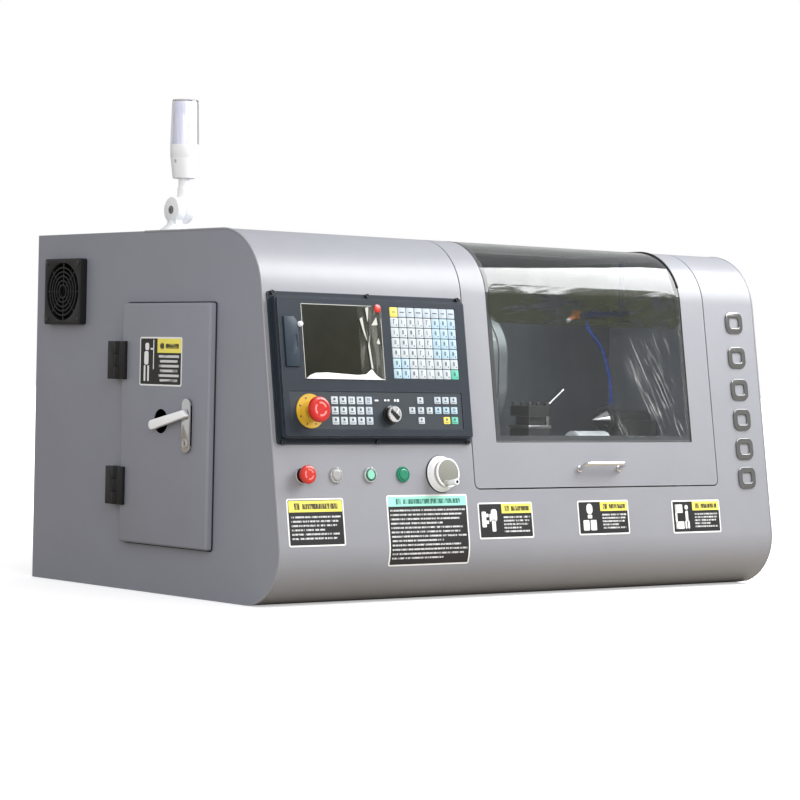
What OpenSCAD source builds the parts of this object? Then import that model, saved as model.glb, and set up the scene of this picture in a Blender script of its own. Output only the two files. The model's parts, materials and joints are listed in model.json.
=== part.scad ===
// Enclosed bench CNC lathe with a milling head on its cross slide.
// Millimetres. +X runs from the control end to the tailstock end, the front looks along -Y,
// +Z is up, and the origin is the centre of the footprint on the floor.

/* [Cabinet] */
// Overall width of the cabinet
body_w = 1200; // [1150:10:1500]
// Overall depth of the cabinet
body_d = 766; // [730:2:940]
// Height of the cabinet without the signal lamp
body_h = 640; // [610:2:800]
// Radius of the bend between roof and front face
top_r = 115; // [90:1:138]
// Radius of the bend between front face and floor
bottom_r = 93; // [74:1:112]
// Lean of the front face from upright
front_lean = 8.5; // [6:0.5:10]
// Thickness of the front and roof sheet
sheet_t = 2; // [1.5:0.5:2.5]
// Thickness of the two end plates
plate_t = 3; // [2:0.5:4]

/* [Hood] */
// Left edge of the hood opening, from the left end plate
hood_left = 442; // [436:1:470]
// Width of the hood opening
hood_w = 620; // [560:5:700]
// Height of the hood's lower edge above the floor
hood_sill_z = 194; // [170:1:215]
// Gap round the hood
hood_gap = 2.5; // [2:0.5:3.5]
// Width of the window
window_w = 498; // [430:2:510]
// Height of the window's lower edge above the floor
window_sill_z = 278; // [262:1:320]
// Thickness of the window sheet
window_t = 3; // [2:0.5:4]
// Hole spacing of the lift handle
handle_span = 100; // [84:2:120]

/* [Side door] */
// Width of the side door, front to back
door_w = 268; // [250:2:290]
// Height of the side door
door_h = 426; // [400:2:450]
// Height of the side door's lower edge
door_z = 86; // [70:1:110]
// How far the side door stands off the end plate
door_proud = 14; // [12:1:18]
// Radius of the bar hole in the side door
bar_hole_r = 21.5; // [16:0.5:24]

/* [Control panel] */
// Width of the panel flange
panel_w = 430; // [400:2:432]
// Height of the panel flange
panel_h = 260; // [244:2:266]
// How far the panel stands off the front face
panel_proud = 18; // [15:1:22]
// Pitch of the row of push buttons
button_pitch = 73.7; // [70:0.1:76]
// Outer radius of the push-button bezels
bezel_r = 14; // [13:0.5:17]

/* [Signal lamp] */
// Radius of the lamp lens at its foot
lamp_r = 25.5; // [22:0.5:30]
// Height of the lamp lens
lens_h = 80; // [60:1:110]

/* [Machine] */
// Height of the spindle axis above the floor
spindle_z = 311; // [306:1:326]
// Radius of the spindle's through hole
spindle_bore_r = 20; // [14:0.5:22]
// Radius of the three-jaw chuck
chuck_r = 50; // [44:1:52]
// Side of the square four-way tool post
post_side = 54; // [46:1:58]
// Radius of the milling motor
mill_r = 26; // [22:0.5:30]
// Radius of the lead screw
screw_r = 8; // [6:0.5:10]
// Radius of the tailstock quill
quill_r = 16; // [13:0.5:19]
// Running clearance on a shaft's radius
fit = 0.05; // [0.02:0.01:0.08]
// Gap under parts that slide on each other
slide_gap = 0.3; // [0.2:0.05:0.4]

/* [Hidden] */
$fn = 64;

// ---- Cabinet outline, seen from the left end: y runs back, z runs up ----
x_left = -body_w / 2;
x_right = body_w / 2;
y_front = -body_d / 2;
y_back = body_d / 2;
inner_x = x_left + plate_t;          // inside face of the left end plate
inner_w = body_w - 2 * plate_t;      // clear width between the end plates
low_c = [y_front + bottom_r, bottom_r];
rise = body_h - top_r - bottom_r;
top_c = [low_c.x + (sin(front_lean) * rise + top_r - bottom_r) / cos(front_lean),
    body_h - top_r];
face_out = [-cos(front_lean), sin(front_lean)];   // outward normal of the front face
// Where the plane of the front face would meet the roof
ridge_y = top_c.x + top_r * face_out.x
    + (body_h - top_c.y - top_r * face_out.y) * tan(front_lean);
floor_edge_y = low_c.x + 10;         // where the front sheet ends under the cabinet

// ---- Hood and window ----
hood_x0 = x_left + hood_left;
hood_x1 = hood_x0 + hood_w;
hood_back_y = 90;                    // line of the hood hinge
hood_rim = 14;                       // depth of the hood's side rims
corner_r = 12;                       // lower corners of the hood
window_x0 = hood_x0 + 59.5;
window_x1 = window_x0 + window_w;
window_top_y = -40;                  // rear edge of the window, on the roof
window_gap = 2;                      // sealant gap round the window sheet
ledge_w = 9;                         // width of the ledge that the sheet sits on
ledge_t = 1.5;
hinge_r = 4.5;                       // barrel of the hood hinge
hinge_pin_r = 2.5;
hinge_leaf_w = 28;
hinge_leaf_t = 2.5;
hinge_z = body_h + hinge_r;
hinge_x0 = hood_x0 + 30;
hinge_len = hood_w - 60;
knuckles = 5;
handle_x = hood_x0 + 307.5;
handle_rise = 34.95;                 // from the hood's lower edge up to the handle's feet
handle_s = (body_h - hood_sill_z) / cos(front_lean) - handle_rise;
handle_out = 20;
handle_lift = 7.5;                   // the bar lies higher than its feet
handle_r = 4.3;

// ---- Side door ----
door_y1 = 76;                        // rear edge, next to the hinges
door_y0 = door_y1 - door_w;
door_skin = 1.5;
door_gap = 0.8;
door_face_x = x_left - door_proud;
door_lap = 12;                       // overlap of the door on the end plate
pin_y = door_y1 + 9;
pin_x = door_face_x - 2;
pin_r = 3;
barrel_r = 7;
hinge_h = 68;
hinge_leaf = 27;                     // reach of each hinge leaf from the pin
hinge_base_z = [door_z + 66, door_z + 290];
hole_y = -50;
hole_z = spindle_z - 6.5;
lock_y = door_y0 + 58.5;
lock_z = 299;
lock_w = 25;
lock_h = 94;
lock_t = 6.5;
lever_z = lock_z + 20;
lever_shaft_r = 5;
lever_w = 13;                         // width of the lever at its hub
lever_tip_w = 17;                     // width of its round end
lever_t = 9;
lever_gap = 0.5;
lever_len = 93.5;                     // from the shaft to the centre of the round end
lever_drop = 13;                     // slope of the resting lever

// ---- Fan ----
fan_y = 276.5;
fan_z = 534;
fan_side = 121;
fan_proud = 13.4;
fan_hole_r = 56;
fan_wall = 3;
fan_depth = 26;
fan_pin_r = 3;
hub_r = 20;
blades = 7;

// ---- Control panel, placed by x and by distance down the front face ----
panel_x = x_left + 9 + panel_w / 2;
panel_s = 239.5;
flange_t = 3;
body_margin = 5;                     // flange showing round the raised body
pocket_d = 2;                        // depth of the pockets in the panel face
screen_x = x_left + 153.5;
screen_s = 196;
screen_w = 176;
screen_h = 130;
keys_x = x_left + 335;
keys_s = 194.5;
keys_w = 149;
keys_h = 126;
key_cols = 8;
key_rows = 7;
low_x = x_left + 221.5;
low_s = 313.5;
low_w = 381;
low_h = 66;
pad_t = 0.8;                         // membrane under the keys
key_t = 0.8;
usb_x = x_left + 41.5;
usb_s = 197;
usb_w = 28.5;
usb_h = 85;
usb_t = 2.5;
estop_x = x_left + 72;
estop_s = 315;
estop_ring_r = 29.5;
estop_r = 22;
estop_out = 30;
estop_neck_r = 12.5;
override_x = x_left + 247;
override_s = 320.6;

// ---- Push buttons and handwheel ----
buttons_x = x_left + 57;
buttons_s = 422.3;
bezel_t = 4;
cap_r = bezel_r - 3.7;
stem_r = 8;
stem_len = 26;
stop_r = 16;
stop_out = 23;
wheel_x = x_left + 364;
wheel_r = 33;
wheel_h = 12;                        // height of the fixed body
dial_r = 26;
dial_neck_r = 24.5;
dial_cap_w = 19;                     // where the dial's rim starts
dial_out = 22.4;
dial_shaft_r = 4;
crank_off = 19.5;
crank_angle = -108;                  // where the crank stands at rest
crank_foot_h = 6;
crank_pin_r = 1.5;
crank_len = 22.5;

// ---- Signal lamp ----
lamp_x = x_left + 62;
lamp_y = 3;
knuckle_z = body_h + 39;
knuckle_r = 23;
knuckle_t = 17.4;
sleeve_r = 11;
pole_r = 9.5;
head_z = knuckle_z + 57;
head_h = 60;
head_foot_r = 20;
lens_top_r = lamp_r - 2.2;
lens_t = 2;

// ---- Machine: everything hangs on the spindle axis ----
axis_y = -46;
bed_x0 = -330;
bed_x1 = 575;
bed_half = 90;
bed_top_z = spindle_z - 112;
way_w = 38;
way_t = 20;
wall_t = 20;
bed_foot_z = 43;
screw_z = 130;
head_x0 = -320;
head_x1 = -20;
head_half = 75;
head_top_z = spindle_z + 80;
journal_r = spindle_bore_r + 7.5;
nose_r = journal_r + 10;
nose_x = -5.5;
pulley_x = head_x0 - 32;
pulley_w = 30;
pulley_r = 45;
belt_t = 4;
belt_gap = 0.3;
chuck_x1 = 50;
jaw_w = 12;
jaw_gap = 0.2;
jaw_in = 14;
jaw_out = chuck_r - 5;
jaw_x0 = 20;
jaw_x1 = 72;
motor_y = 170;
motor_z = 200;
motor_half = 55;
motor_pulley_r = 30;
motor_shaft_r = 9;
saddle_x = 180;
saddle_z0 = bed_top_z + slide_gap;
saddle_t = 17;
rail_w = 60;
rail_t = 10;
slide_z0 = saddle_z0 + saddle_t + slide_gap;
slide_t = 17.5;
slide_top_z = slide_z0 + slide_t;
post_x = 162;
post_y = axis_y - 111;
post_z = spindle_z - 31;
post_foot_h = 23;
slot_h = 17;
post_cap_h = 20;
stud_x = post_x + 44;
stud_r = 4;
lever_hub_r = 5.5;
mill_x0 = 209;
mill_len = 84;
mill_y = axis_y - 176;
mill_z = spindle_z - 43;
mill_shaft_r = 6;
tail_x0 = 490;
tail_x1 = 575;
tail_wall = 4;
quill_x0 = 470;
centre_x = 431;
centre_r = 22;
centre_shaft_r = 8;
liner_x = hood_x0 - 7;
liner_y = 80;
liner_t = 1.5;

// ---- Coolant line, air line and chuck guard ----
pipe_x = x_right - 96;
pipe_z = 519;
pipe_r = 6;
line_x0 = 404;
line_r = 8;
tee_x = 412;
segments = 2;
segment_len = 11;
tube_r = 3;
tube_path = [[412, 509], [412, 501], [415, 493], [423, 484], [433, 475], [444, 465],
    [454, 452], [462, 437], [469, 420], [475, 400], [479, 380], [482, 360], [483, 342]];
guard_r = 92;
guard_t = 2;
guard_rim_t = 2;                     // rim standing out at the open end
guard_rim_len = 20;
guard_x0 = 15;
guard_len = 77;
guard_pin_r = 5;
guard_hub_r = 9;
guard_arm = guard_r - 1.5;           // from the pin to the guard's centre
guard_end = 235;                     // where the guard's front wall ends below
guard_low = [axis_y - 29, spindle_z + 64];     // centre of the lower bend, raised
guard_high = guard_low + [0, 54];
// The pin is as far from the lower bend's centre as from the spindle axis, so that the
// guard comes down round the chuck.
guard_step = guard_low - [axis_y, spindle_z];
guard_half = norm(guard_step) / 2;
guard_pivot = [axis_y, spindle_z] + guard_step / 2
    + sqrt(guard_arm * guard_arm - guard_half * guard_half)
    * [guard_step.y, -guard_step.x] / norm(guard_step);

// ---- Helpers ----
// A rounded rectangle about the origin.
module rrect(w, h, r) {
    square([w - 2 * r, h], center = true);
    square([w, h - 2 * r], center = true);
    for (i = [-1, 1], j = [-1, 1])
        translate([i * (w / 2 - r), j * (h / 2 - r)]) circle(r);
}

// Extrudes a drawing made in (y, z) along X.
module along_x(x0, len) {
    translate([x0, 0, 0]) rotate([90, 0, 90]) linear_extrude(len) children();
}

// A cylinder along X about (y, z).
module rod_x(x0, len, r, y, z) {
    translate([x0, y, z]) rotate([0, 90, 0]) cylinder(r = r, h = len);
}

// A tapered cylinder along X about (y, z).
module cone_x(x0, len, ra, rb, y, z) {
    translate([x0, y, z]) rotate([0, 90, 0]) cylinder(r1 = ra, r2 = rb, h = len);
}

// A block from one corner to the other.
module block(a, b) {
    translate(a) cube(b - a);
}

// Places children on the front face: x across, s down the slope, w outwards.
module on_front(x, s, w = 0) {
    translate([x, ridge_y, body_h]) rotate([90 - front_lean, 0, 0])
        translate([0, -s, w]) children();
}

// Outline of the cabinet, moved inwards by inset.
module outline(inset = 0) {
    ra = top_r - inset;
    rb = bottom_r - inset;
    polygon([[y_back - inset, inset], [y_back - inset, body_h - inset],
        [top_c.x, body_h - inset], top_c + ra * face_out, low_c + rb * face_out,
        [low_c.x, inset]]);
    translate(top_c) circle(ra);
    translate(low_c) circle(rb);
}

// A bent sheet that follows the outline between two depths.
module bent_sheet(x0, len, outer, inner) {
    along_x(x0, len) difference() {
        outline(outer);
        outline(inner);
    }
}

// The space over a panel that wraps from the front face on to the roof.
module wrap_zone(x0, x1, sill_z, top_y, r) {
    reach = 40;
    sill_s = (body_h - sill_z) / cos(front_lean);
    sill_y = ridge_y - sill_s * sin(front_lean);
    y_in = sill_y + reach * cos(front_lean);
    y_out = sill_y - reach * cos(front_lean);
    z_in = sill_z - reach * sin(front_lean);
    z_out = sill_z + reach * sin(front_lean);
    difference() {
        along_x(x0, x1 - x0) polygon([[y_out, z_out], [y_in, z_in], [top_y, z_in],
            [top_y, body_h + 20], [y_out, body_h + 20]]);
        for (side = [-1, 1])
            on_front(side < 0 ? x0 + r : x1 - r, sill_s, -reach - 1)
                linear_extrude(2 * reach + 2) difference() {
                    translate([side < 0 ? -r - 1 : 0, -1]) square([r + 1, r + 1]);
                    translate([0, r]) circle(r);
                }
    }
}

// ---- Cabinet ----
module base_tray() color("dimgray") difference() {
    union() {
        block([inner_x, floor_edge_y, 0], [-inner_x, y_back - sheet_t, plate_t]);
        for (x = [inner_x, -inner_x - sheet_t])
            block([x, floor_edge_y, 0], [x + sheet_t, y_back - sheet_t, 42]);
        block([inner_x, y_back - 2 * sheet_t, 0], [-inner_x, y_back - sheet_t, 42]);
    }
    for (x = [-500, 500], y = [-200, 300])
        translate([x, y, -1]) cylinder(r = 5.5, h = plate_t + 2);
}

module left_end_plate() color("silver") difference() {
    along_x(x_left, plate_t) outline();
    rod_x(x_left - 1, plate_t + 2, fan_hole_r, fan_y, fan_z);
    block([x_left - 1, door_y0 + door_lap, door_z + door_lap],
        [inner_x + 1, door_y1 - door_lap, door_z + door_h - door_lap]);
}

module right_end_plate() color("silver")
    along_x(x_right - plate_t, plate_t) outline();

module front_skin() color("lightgray") difference() {
    bent_sheet(inner_x, inner_w, 0, sheet_t);
    block([inner_x - 1, floor_edge_y, -1], [-inner_x + 1, y_back + 1, plate_t + 1]);
    block([inner_x - 1, y_back - sheet_t, -1], [-inner_x + 1, y_back + 1, body_h + 1]);
    wrap_zone(hood_x0, hood_x1, hood_sill_z, hood_back_y, corner_r);
    on_front(panel_x, panel_s, -20) linear_extrude(40)
        square([panel_w - 26, panel_h - 26], center = true);
    for (i = [0:3])
        on_front(buttons_x + i * button_pitch, buttons_s, -20)
            cylinder(r = bezel_r - 3, h = 40);
    on_front(wheel_x, buttons_s, -20) cylinder(r = wheel_r - 8, h = 40);
}

module rear_cover() color("silver") difference() {
    block([inner_x, y_back - sheet_t, 0], [-inner_x, y_back, body_h]);
    for (x = [-420, 300], i = [0:9])
        block([x, y_back - 5, 420 + i * 14], [x + 120, y_back + 1, 424 + i * 14]);
}

module chamber_liner() color("slategray") {
    difference() {
        along_x(liner_x, liner_t) intersection() {
            outline(sheet_t + 1);
            translate([y_front, plate_t]) square([liner_y + liner_t - y_front, body_h]);
        }
        block([liner_x - 1, axis_y - bed_half - 5, 0],
            [liner_x + liner_t + 1, axis_y + bed_half + 5, head_top_z + 5]);
    }
    block([liner_x, liner_y, plate_t],
        [-inner_x - sheet_t, liner_y + liner_t, body_h - sheet_t - 1]);
}

// ---- Hood ----
module hood_shell() color("lightgray") {
    x0 = hood_x0 + hood_gap;
    x1 = hood_x1 - hood_gap;
    sill = hood_sill_z + hood_gap;
    back = hood_back_y - hood_gap;
    difference() {
        union() {
            intersection() {
                bent_sheet(x0, x1 - x0, 0, sheet_t);
                wrap_zone(x0, x1, sill, back, corner_r - hood_gap);
            }
            for (x = [x0, x1 - sheet_t]) intersection() {
                bent_sheet(x, sheet_t, 0, hood_rim);
                wrap_zone(x, x + sheet_t, sill + corner_r, liner_y - 8, 0.5);
            }
            intersection() {
                bent_sheet(window_x0 - 3, window_w + 6, 0, window_t + ledge_t + 0.1);
                wrap_zone(window_x0 - 3, window_x1 + 3, window_sill_z - 3,
                    window_top_y + 3, 3);
            }
        }
        window_space(0);
        // the opening inside the ledge that the window sheet lies on
        intersection() {
            bent_sheet(window_x0, window_w, -1, window_t + ledge_t + 1);
            wrap_zone(window_x0 + ledge_w, window_x1 - ledge_w, window_sill_z + ledge_w,
                window_top_y - ledge_w, 3);
        }
    }
    hood_knuckles();
}

// The opening that the window sheet lies in, smaller by margin.
module window_space(margin) {
    intersection() {
        bent_sheet(window_x0 + margin, window_w - 2 * margin, -1, window_t + 0.1);
        wrap_zone(window_x0 + margin, window_x1 - margin, window_sill_z + margin,
            window_top_y - margin, 4);
    }
}

module hood_knuckles() {
    step = hinge_len / knuckles;
    for (i = [1:2:knuckles - 1]) {
        x = hinge_x0 + i * step;
        difference() {
            union() {
                rod_x(x + 0.3, step - 0.6, hinge_r, hood_back_y, hinge_z);
                block([x + 0.3, hood_back_y - hinge_leaf_w, body_h],
                    [x + step - 0.3, hood_back_y, body_h + hinge_leaf_t]);
            }
            rod_x(x, step, hinge_pin_r + fit, hood_back_y, hinge_z);
        }
    }
}

module hood_hinge() color("gray") {
    step = hinge_len / knuckles;
    for (i = [0:2:knuckles - 1]) {
        x = hinge_x0 + i * step;
        rod_x(x + 0.3, step - 0.6, hinge_r, hood_back_y, hinge_z);
    }
    rod_x(hinge_x0, hinge_len, hinge_pin_r, hood_back_y, hinge_z);
    for (i = [0:2:knuckles - 1])
        block([hinge_x0 + i * step + 0.3, hood_back_y, body_h],
            [hinge_x0 + (i + 1) * step - 0.3, hood_back_y + 10, body_h + hinge_leaf_t]);
    block([hinge_x0, hood_back_y + 9, body_h],
        [hinge_x0 + hinge_len, hood_back_y + hinge_leaf_w, body_h + hinge_leaf_t]);
}

module window() color([0.75, 0.8, 0.8, 0.4]) intersection() {
    bent_sheet(window_x0 + window_gap, window_w - 2 * window_gap, 0, window_t);
    wrap_zone(window_x0 + window_gap, window_x1 - window_gap,
        window_sill_z + window_gap, window_top_y - window_gap, 3);
}

module hood_handle() color("silver") on_front(handle_x, handle_s) {
    reach = norm([handle_out, handle_lift]);
    for (side = [-1, 1]) translate([side * handle_span / 2, 0, 0]) {
        cylinder(r = handle_r + 2, h = 2);
        rotate([-atan(handle_lift / handle_out), 0, 0]) translate([0, 0, 2])
            cylinder(r = handle_r - 0.4, h = reach - 2);
    }
    translate([-handle_span / 2 - handle_r, handle_lift, handle_out]) rotate([0, 90, 0])
        cylinder(r = handle_r, h = handle_span + 2 * handle_r);
}

// ---- Side door ----
module side_door() color("silver") difference() {
    block([door_face_x, door_y0, door_z], [x_left - door_gap, door_y1, door_z + door_h]);
    block([door_face_x + door_skin, door_y0 + door_skin, door_z + door_skin],
        [x_left, door_y1 - door_skin, door_z + door_h - door_skin]);
    rod_x(door_face_x - 1, door_proud, bar_hole_r, hole_y, hole_z);
    rod_x(door_face_x - 1, door_proud, lever_shaft_r + 1, lock_y, lever_z);
}

// A drawing placed on the door face: y towards the back, z up.
module on_door(x0, len, y, z) {
    along_x(x0, len) translate([y, z]) children();
}

module door_lock() color("gainsboro") difference() {
    union() {
        on_door(door_face_x - lock_t, lock_t, lock_y, lock_z)
            rrect(lock_w, lock_h, lock_w / 2 - 0.5);
        rod_x(door_face_x - lock_t - 2, 3, 8, lock_y, lock_z - 31);
    }
    rod_x(door_face_x - lock_t - 1, lock_t + 2, lever_shaft_r + fit, lock_y, lever_z);
    block([door_face_x - lock_t - 3, lock_y - 1, lock_z - 36],
        [door_face_x - lock_t - 0.5, lock_y + 1, lock_z - 26]);
}

module door_lever() color("whitesmoke") {
    x = door_face_x - lock_t - lever_gap - lever_t;
    rod_x(x + 1, door_proud + lock_t + lever_t - 9, lever_shaft_r, lock_y, lever_z);
    rod_x(x + 1, lever_t - 1, lever_w / 2 + 1.5, lock_y, lever_z);
    translate([0, lock_y, lever_z]) rotate([-lever_drop, 0, 0]) {
        along_x(x, lever_t) polygon([[-2, lever_w / 2], [-lever_w, -lever_w / 2],
            [lever_len, -lever_tip_w / 2], [lever_len, lever_tip_w / 2]]);
        rod_x(x, lever_t, lever_tip_w / 2, lever_len, 0);
    }
}

module door_hinge_posts() color("black") for (z = hinge_base_z) {
    difference() {
        union() {
            block([pin_x - 4, pin_y, z], [x_left, pin_y + hinge_leaf, z + hinge_h]);
            rod_z(pin_x, pin_y, z, hinge_h, barrel_r);
        }
        block([pin_x - barrel_r - 1, pin_y - barrel_r - 1, z + hinge_h / 3 - 0.3],
            [pin_x + barrel_r + 0.3, pin_y + barrel_r + 0.3, z + hinge_h * 2 / 3 + 0.3]);
    }
    rod_z(pin_x, pin_y, z + 1, hinge_h - 2, pin_r);
}

// A cylinder along Z.
module rod_z(x, y, z, h, r) {
    translate([x, y, z]) cylinder(r = r, h = h);
}

module door_hinge_leaves() color("black") for (z = hinge_base_z) difference() {
    union() {
        block([door_face_x - 6, pin_y - hinge_leaf, z],
            [door_face_x, pin_y - barrel_r - 0.5, z + hinge_h]);
        block([door_face_x - 6, pin_y - barrel_r - 1, z + hinge_h / 3 + 0.3],
            [door_face_x, pin_y, z + hinge_h * 2 / 3 - 0.3]);
        rod_z(pin_x, pin_y, z + hinge_h / 3 + 0.3, hinge_h / 3 - 0.6, barrel_r);
    }
    rod_z(pin_x, pin_y, z, hinge_h, pin_r + fit);
}

// ---- Fan ----
module fan_housing() color("black") {
    difference() {
        union() {
            on_door(x_left - fan_proud, fan_proud, fan_y, fan_z)
                rrect(fan_side, fan_side, 5);
            rod_x(x_left - 1, fan_depth + 1, fan_hole_r - 0.5, fan_y, fan_z);
        }
        rod_x(x_left - fan_proud - 1, fan_depth + fan_proud + 2,
            fan_hole_r - fan_wall, fan_y, fan_z);
    }
    for (r = [12:8:44]) on_door(x_left - fan_proud, 3, fan_y, fan_z) difference() {
        circle(r + 1.3);
        circle(r - 1.3);
    }
    for (a = [0:45:135]) on_door(x_left - fan_proud + 1.5, 2.5, fan_y, fan_z)
        rotate(a) difference() {
            square([2 * (fan_hole_r - fan_wall) + 1, 3], center = true);
            circle(9);
        }
    for (a = [30:120:270]) on_door(x_left + fan_depth - 4, 4, fan_y, fan_z)
        rotate(a) translate([0, -4]) square([fan_hole_r - 1, 8]);
    rod_x(x_left + fan_depth - 4, 4, hub_r, fan_y, fan_z);
    rod_x(x_left + 2, fan_depth - 3, fan_pin_r, fan_y, fan_z);
}

module fan_impeller() color("dimgray") {
    difference() {
        rod_x(x_left - 1, fan_depth - 4, hub_r, fan_y, fan_z);
        rod_x(x_left + 1.7, fan_depth, fan_pin_r + fit, fan_y, fan_z);
    }
    for (i = [0:blades - 1]) translate([x_left + 10, fan_y, fan_z])
        rotate([i * 360 / blades, 0, 0]) translate([0, 0, hub_r - 1])
            rotate([0, 0, 35]) translate([-9, -1, 0]) cube([18, 2, 30]);
}

// ---- Control panel ----
module panel_body() color("darkslategray") on_front(panel_x, panel_s) {
    bw = panel_w - 2 * body_margin;
    bh = panel_h - 2 * body_margin - 8;
    difference() {
        union() {
            linear_extrude(flange_t) rrect(panel_w, panel_h, 5);
            linear_extrude(panel_proud - 3) rrect(bw, bh, 6);
            linear_extrude(panel_proud) rrect(bw - 6, bh - 6, 5);
            translate([0, 0, -60]) linear_extrude(61)
                rrect(panel_w - 28, panel_h - 28, 4);
        }
        panel_pocket(screen_x, screen_s, screen_w, screen_h, 2);
        panel_pocket(keys_x, keys_s, keys_w + 1, keys_h + 1, 2);
        panel_pocket(low_x, low_s, low_w, low_h, 3);
        translate([0, 0, -61]) linear_extrude(58 + flange_t)
            rrect(panel_w - 34, panel_h - 34, 4);
        at_panel(estop_x, estop_s) cylinder(r = stem_r + 0.1, h = panel_proud + 2);
        at_panel(override_x, override_s) cylinder(r = 3 + fit, h = panel_proud + 2);
        for (i = [-1, 0, 1], j = [-1, 1])
            translate([i * (panel_w / 2 - 10), j * (panel_h / 2 - 2.6), -1])
                cylinder(r = 1.6, h = flange_t + 2);
    }
}

// Moves from the panel's centre to a point given by x and s.
module at_panel(x, s, w = 0) {
    translate([x - panel_x, panel_s - s, w]) children();
}

// A shallow pocket in the panel's face.
module panel_pocket(x, s, w, h, r) {
    at_panel(x, s, panel_proud - pocket_d) linear_extrude(pocket_d + 1) rrect(w, h, r);
}

module display() color("darkolivegreen")
    on_front(screen_x, screen_s, panel_proud - pocket_d)
        linear_extrude(pocket_d - 0.4) rrect(screen_w - 1, screen_h - 1, 1.5);

// One raised key, placed by its x and s.
module key(x, s, w, h) {
    on_front(x, s, panel_proud - pocket_d + 0.1) linear_extrude(pad_t + key_t - 0.1)
        rrect(w, h, 1);
}

module keypad() color("whitesmoke") {
    pitch_x = keys_w / key_cols;
    pitch_s = keys_h / key_rows;
    on_front(keys_x, keys_s, panel_proud - pocket_d) linear_extrude(pad_t)
        rrect(keys_w, keys_h, 1.5);
    for (c = [0:key_cols - 1], r = [0:key_rows - 1])
        key(keys_x + (c - (key_cols - 1) / 2) * pitch_x,
            keys_s + (r - (key_rows - 1) / 2) * pitch_s, pitch_x - 2, pitch_s - 2.5);
    // lower membrane, with holes for the two controls that pass through it
    difference() {
        on_front(low_x, low_s, panel_proud - pocket_d) linear_extrude(pad_t)
            rrect(low_w - 1, low_h - 1, 2.5);
        on_front(estop_x, estop_s, 0) cylinder(r = stem_r + 1, h = 40);
        on_front(override_x, override_s, 0) cylinder(r = 6, h = 40);
    }
    for (c = [0:4], r = [0:2])
        key(x_left + 125.5 + c * 18.6, low_s - 17.4 + r * 17.5, 15, 13.5);
    for (p = [[0, -17.6], [-19.8, 0], [0, 0], [19.8, 0], [0, 17.6]])
        key(x_left + 316 + p.x, low_s - 1 + p.y, 14, 12);
    for (c = [0:2], r = [0:2]) if (c > 0 || r < 2)
        key(x_left + 355.3 + c * 18.5, low_s - 19 + r * 17.7, 15, 12.5);
}

module usb_flap() color("#202528") on_front(usb_x, usb_s, panel_proud + 0.2) {
    difference() {
        linear_extrude(usb_t) polygon([[-usb_w / 2, -usb_h / 2], [usb_w / 2, -usb_h / 2],
            [usb_w / 2, usb_h / 2 - 8], [usb_w / 2 - 8, usb_h / 2],
            [-usb_w / 2, usb_h / 2]]);
        translate([usb_w / 2 - 6, -12, usb_t - 0.8]) cube([3, 24, 2]);
    }
}

module estop_ring() color("gold") on_front(estop_x, estop_s, panel_proud - pocket_d + pad_t)
    difference() {
        union() {
            cylinder(r = estop_ring_r, h = 2.2);
            cylinder(r1 = 18, r2 = 15, h = 7);
        }
        translate([0, 0, -1]) cylinder(r = 10, h = 20);
    }

module estop_button() color("red") on_front(estop_x, estop_s, panel_proud) {
    difference() {
        union() {
            translate([0, 0, 12]) cylinder(r = estop_neck_r, h = estop_out - 18);
            translate([0, 0, estop_out - 12])
                cylinder(r1 = estop_r - 2, r2 = estop_r, h = 3);
            translate([0, 0, estop_out - 9]) cylinder(r = estop_r, h = 6);
            translate([0, 0, estop_out - 3]) cylinder(r1 = estop_r, r2 = estop_r - 4, h = 3);
            translate([0, 0, -stem_len + 4]) cylinder(r = stem_r, h = stem_len + 12);
        }
        for (a = [0:120:240]) rotate(a) translate([9, 0, estop_out - 0.8])
            linear_extrude(2) square([5, 2.5], center = true);
    }
}

module override_knob() color("#181a1c") on_front(override_x, override_s, panel_proud - 1) {
    cylinder(r = 16.5, h = 3);
    difference() {
        cylinder(r1 = 14, r2 = 12.5, h = 15);
        translate([-0.8, 3, 14.2]) cube([1.6, 12, 2]);
    }
    translate([0, 0, -16]) cylinder(r = 3, h = 17);
}

// ---- Push buttons ----
// Places children at a push button's centre.
module at_button(i, w = 0) {
    on_front(buttons_x + i * button_pitch, buttons_s, w) children();
}

module button_bezels() color("gainsboro") for (i = [0:3]) at_button(i) difference() {
    union() {
        cylinder(r = bezel_r, h = bezel_t);
        translate([0, 0, -22]) cylinder(r = bezel_r - 3.3, h = 23);
        translate([0, 0, -8]) cylinder(r = bezel_r + 1, h = 5.5);
    }
    translate([0, 0, -23]) cylinder(r = stem_r + 0.1, h = 24);
    translate([0, 0, 0.5]) cylinder(r = cap_r + 0.3, h = bezel_t + 1);
}

// A push button whose cap is flush with its bezel.
module flush_button() {
    translate([0, 0, 2]) cylinder(r = cap_r, h = bezel_t - 1);
    translate([0, 0, -stem_len + 8]) cylinder(r = stem_r, h = stem_len - 5);
}

module stop_button() color("red") at_button(0) {
    translate([0, 0, stop_out - 14]) cylinder(r1 = stop_r - 5, r2 = stop_r, h = 5);
    translate([0, 0, stop_out - 9]) cylinder(r = stop_r, h = 7);
    translate([0, 0, stop_out - 2]) cylinder(r1 = stop_r, r2 = stop_r - 2, h = 2);
    translate([0, 0, -stem_len + 8]) cylinder(r = stem_r, h = stem_len + 10);
}

module reset_button() color("silver") at_button(1) flush_button();

module start_button() color("aquamarine") at_button(2) flush_button();

module cycle_button() color("seagreen") at_button(3) flush_button();

// ---- Electronic handwheel ----
module handwheel_body() color("gainsboro") on_front(wheel_x, buttons_s) difference() {
    union() {
        cylinder(r = wheel_r, h = 3);
        cylinder(r1 = wheel_r - 2, r2 = wheel_r - 5.5, h = wheel_h);
        translate([0, 0, -30]) cylinder(r = wheel_r - 8.5, h = 31);
    }
    translate([0, 0, -20]) cylinder(r = dial_shaft_r + fit, h = 40);
}

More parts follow.
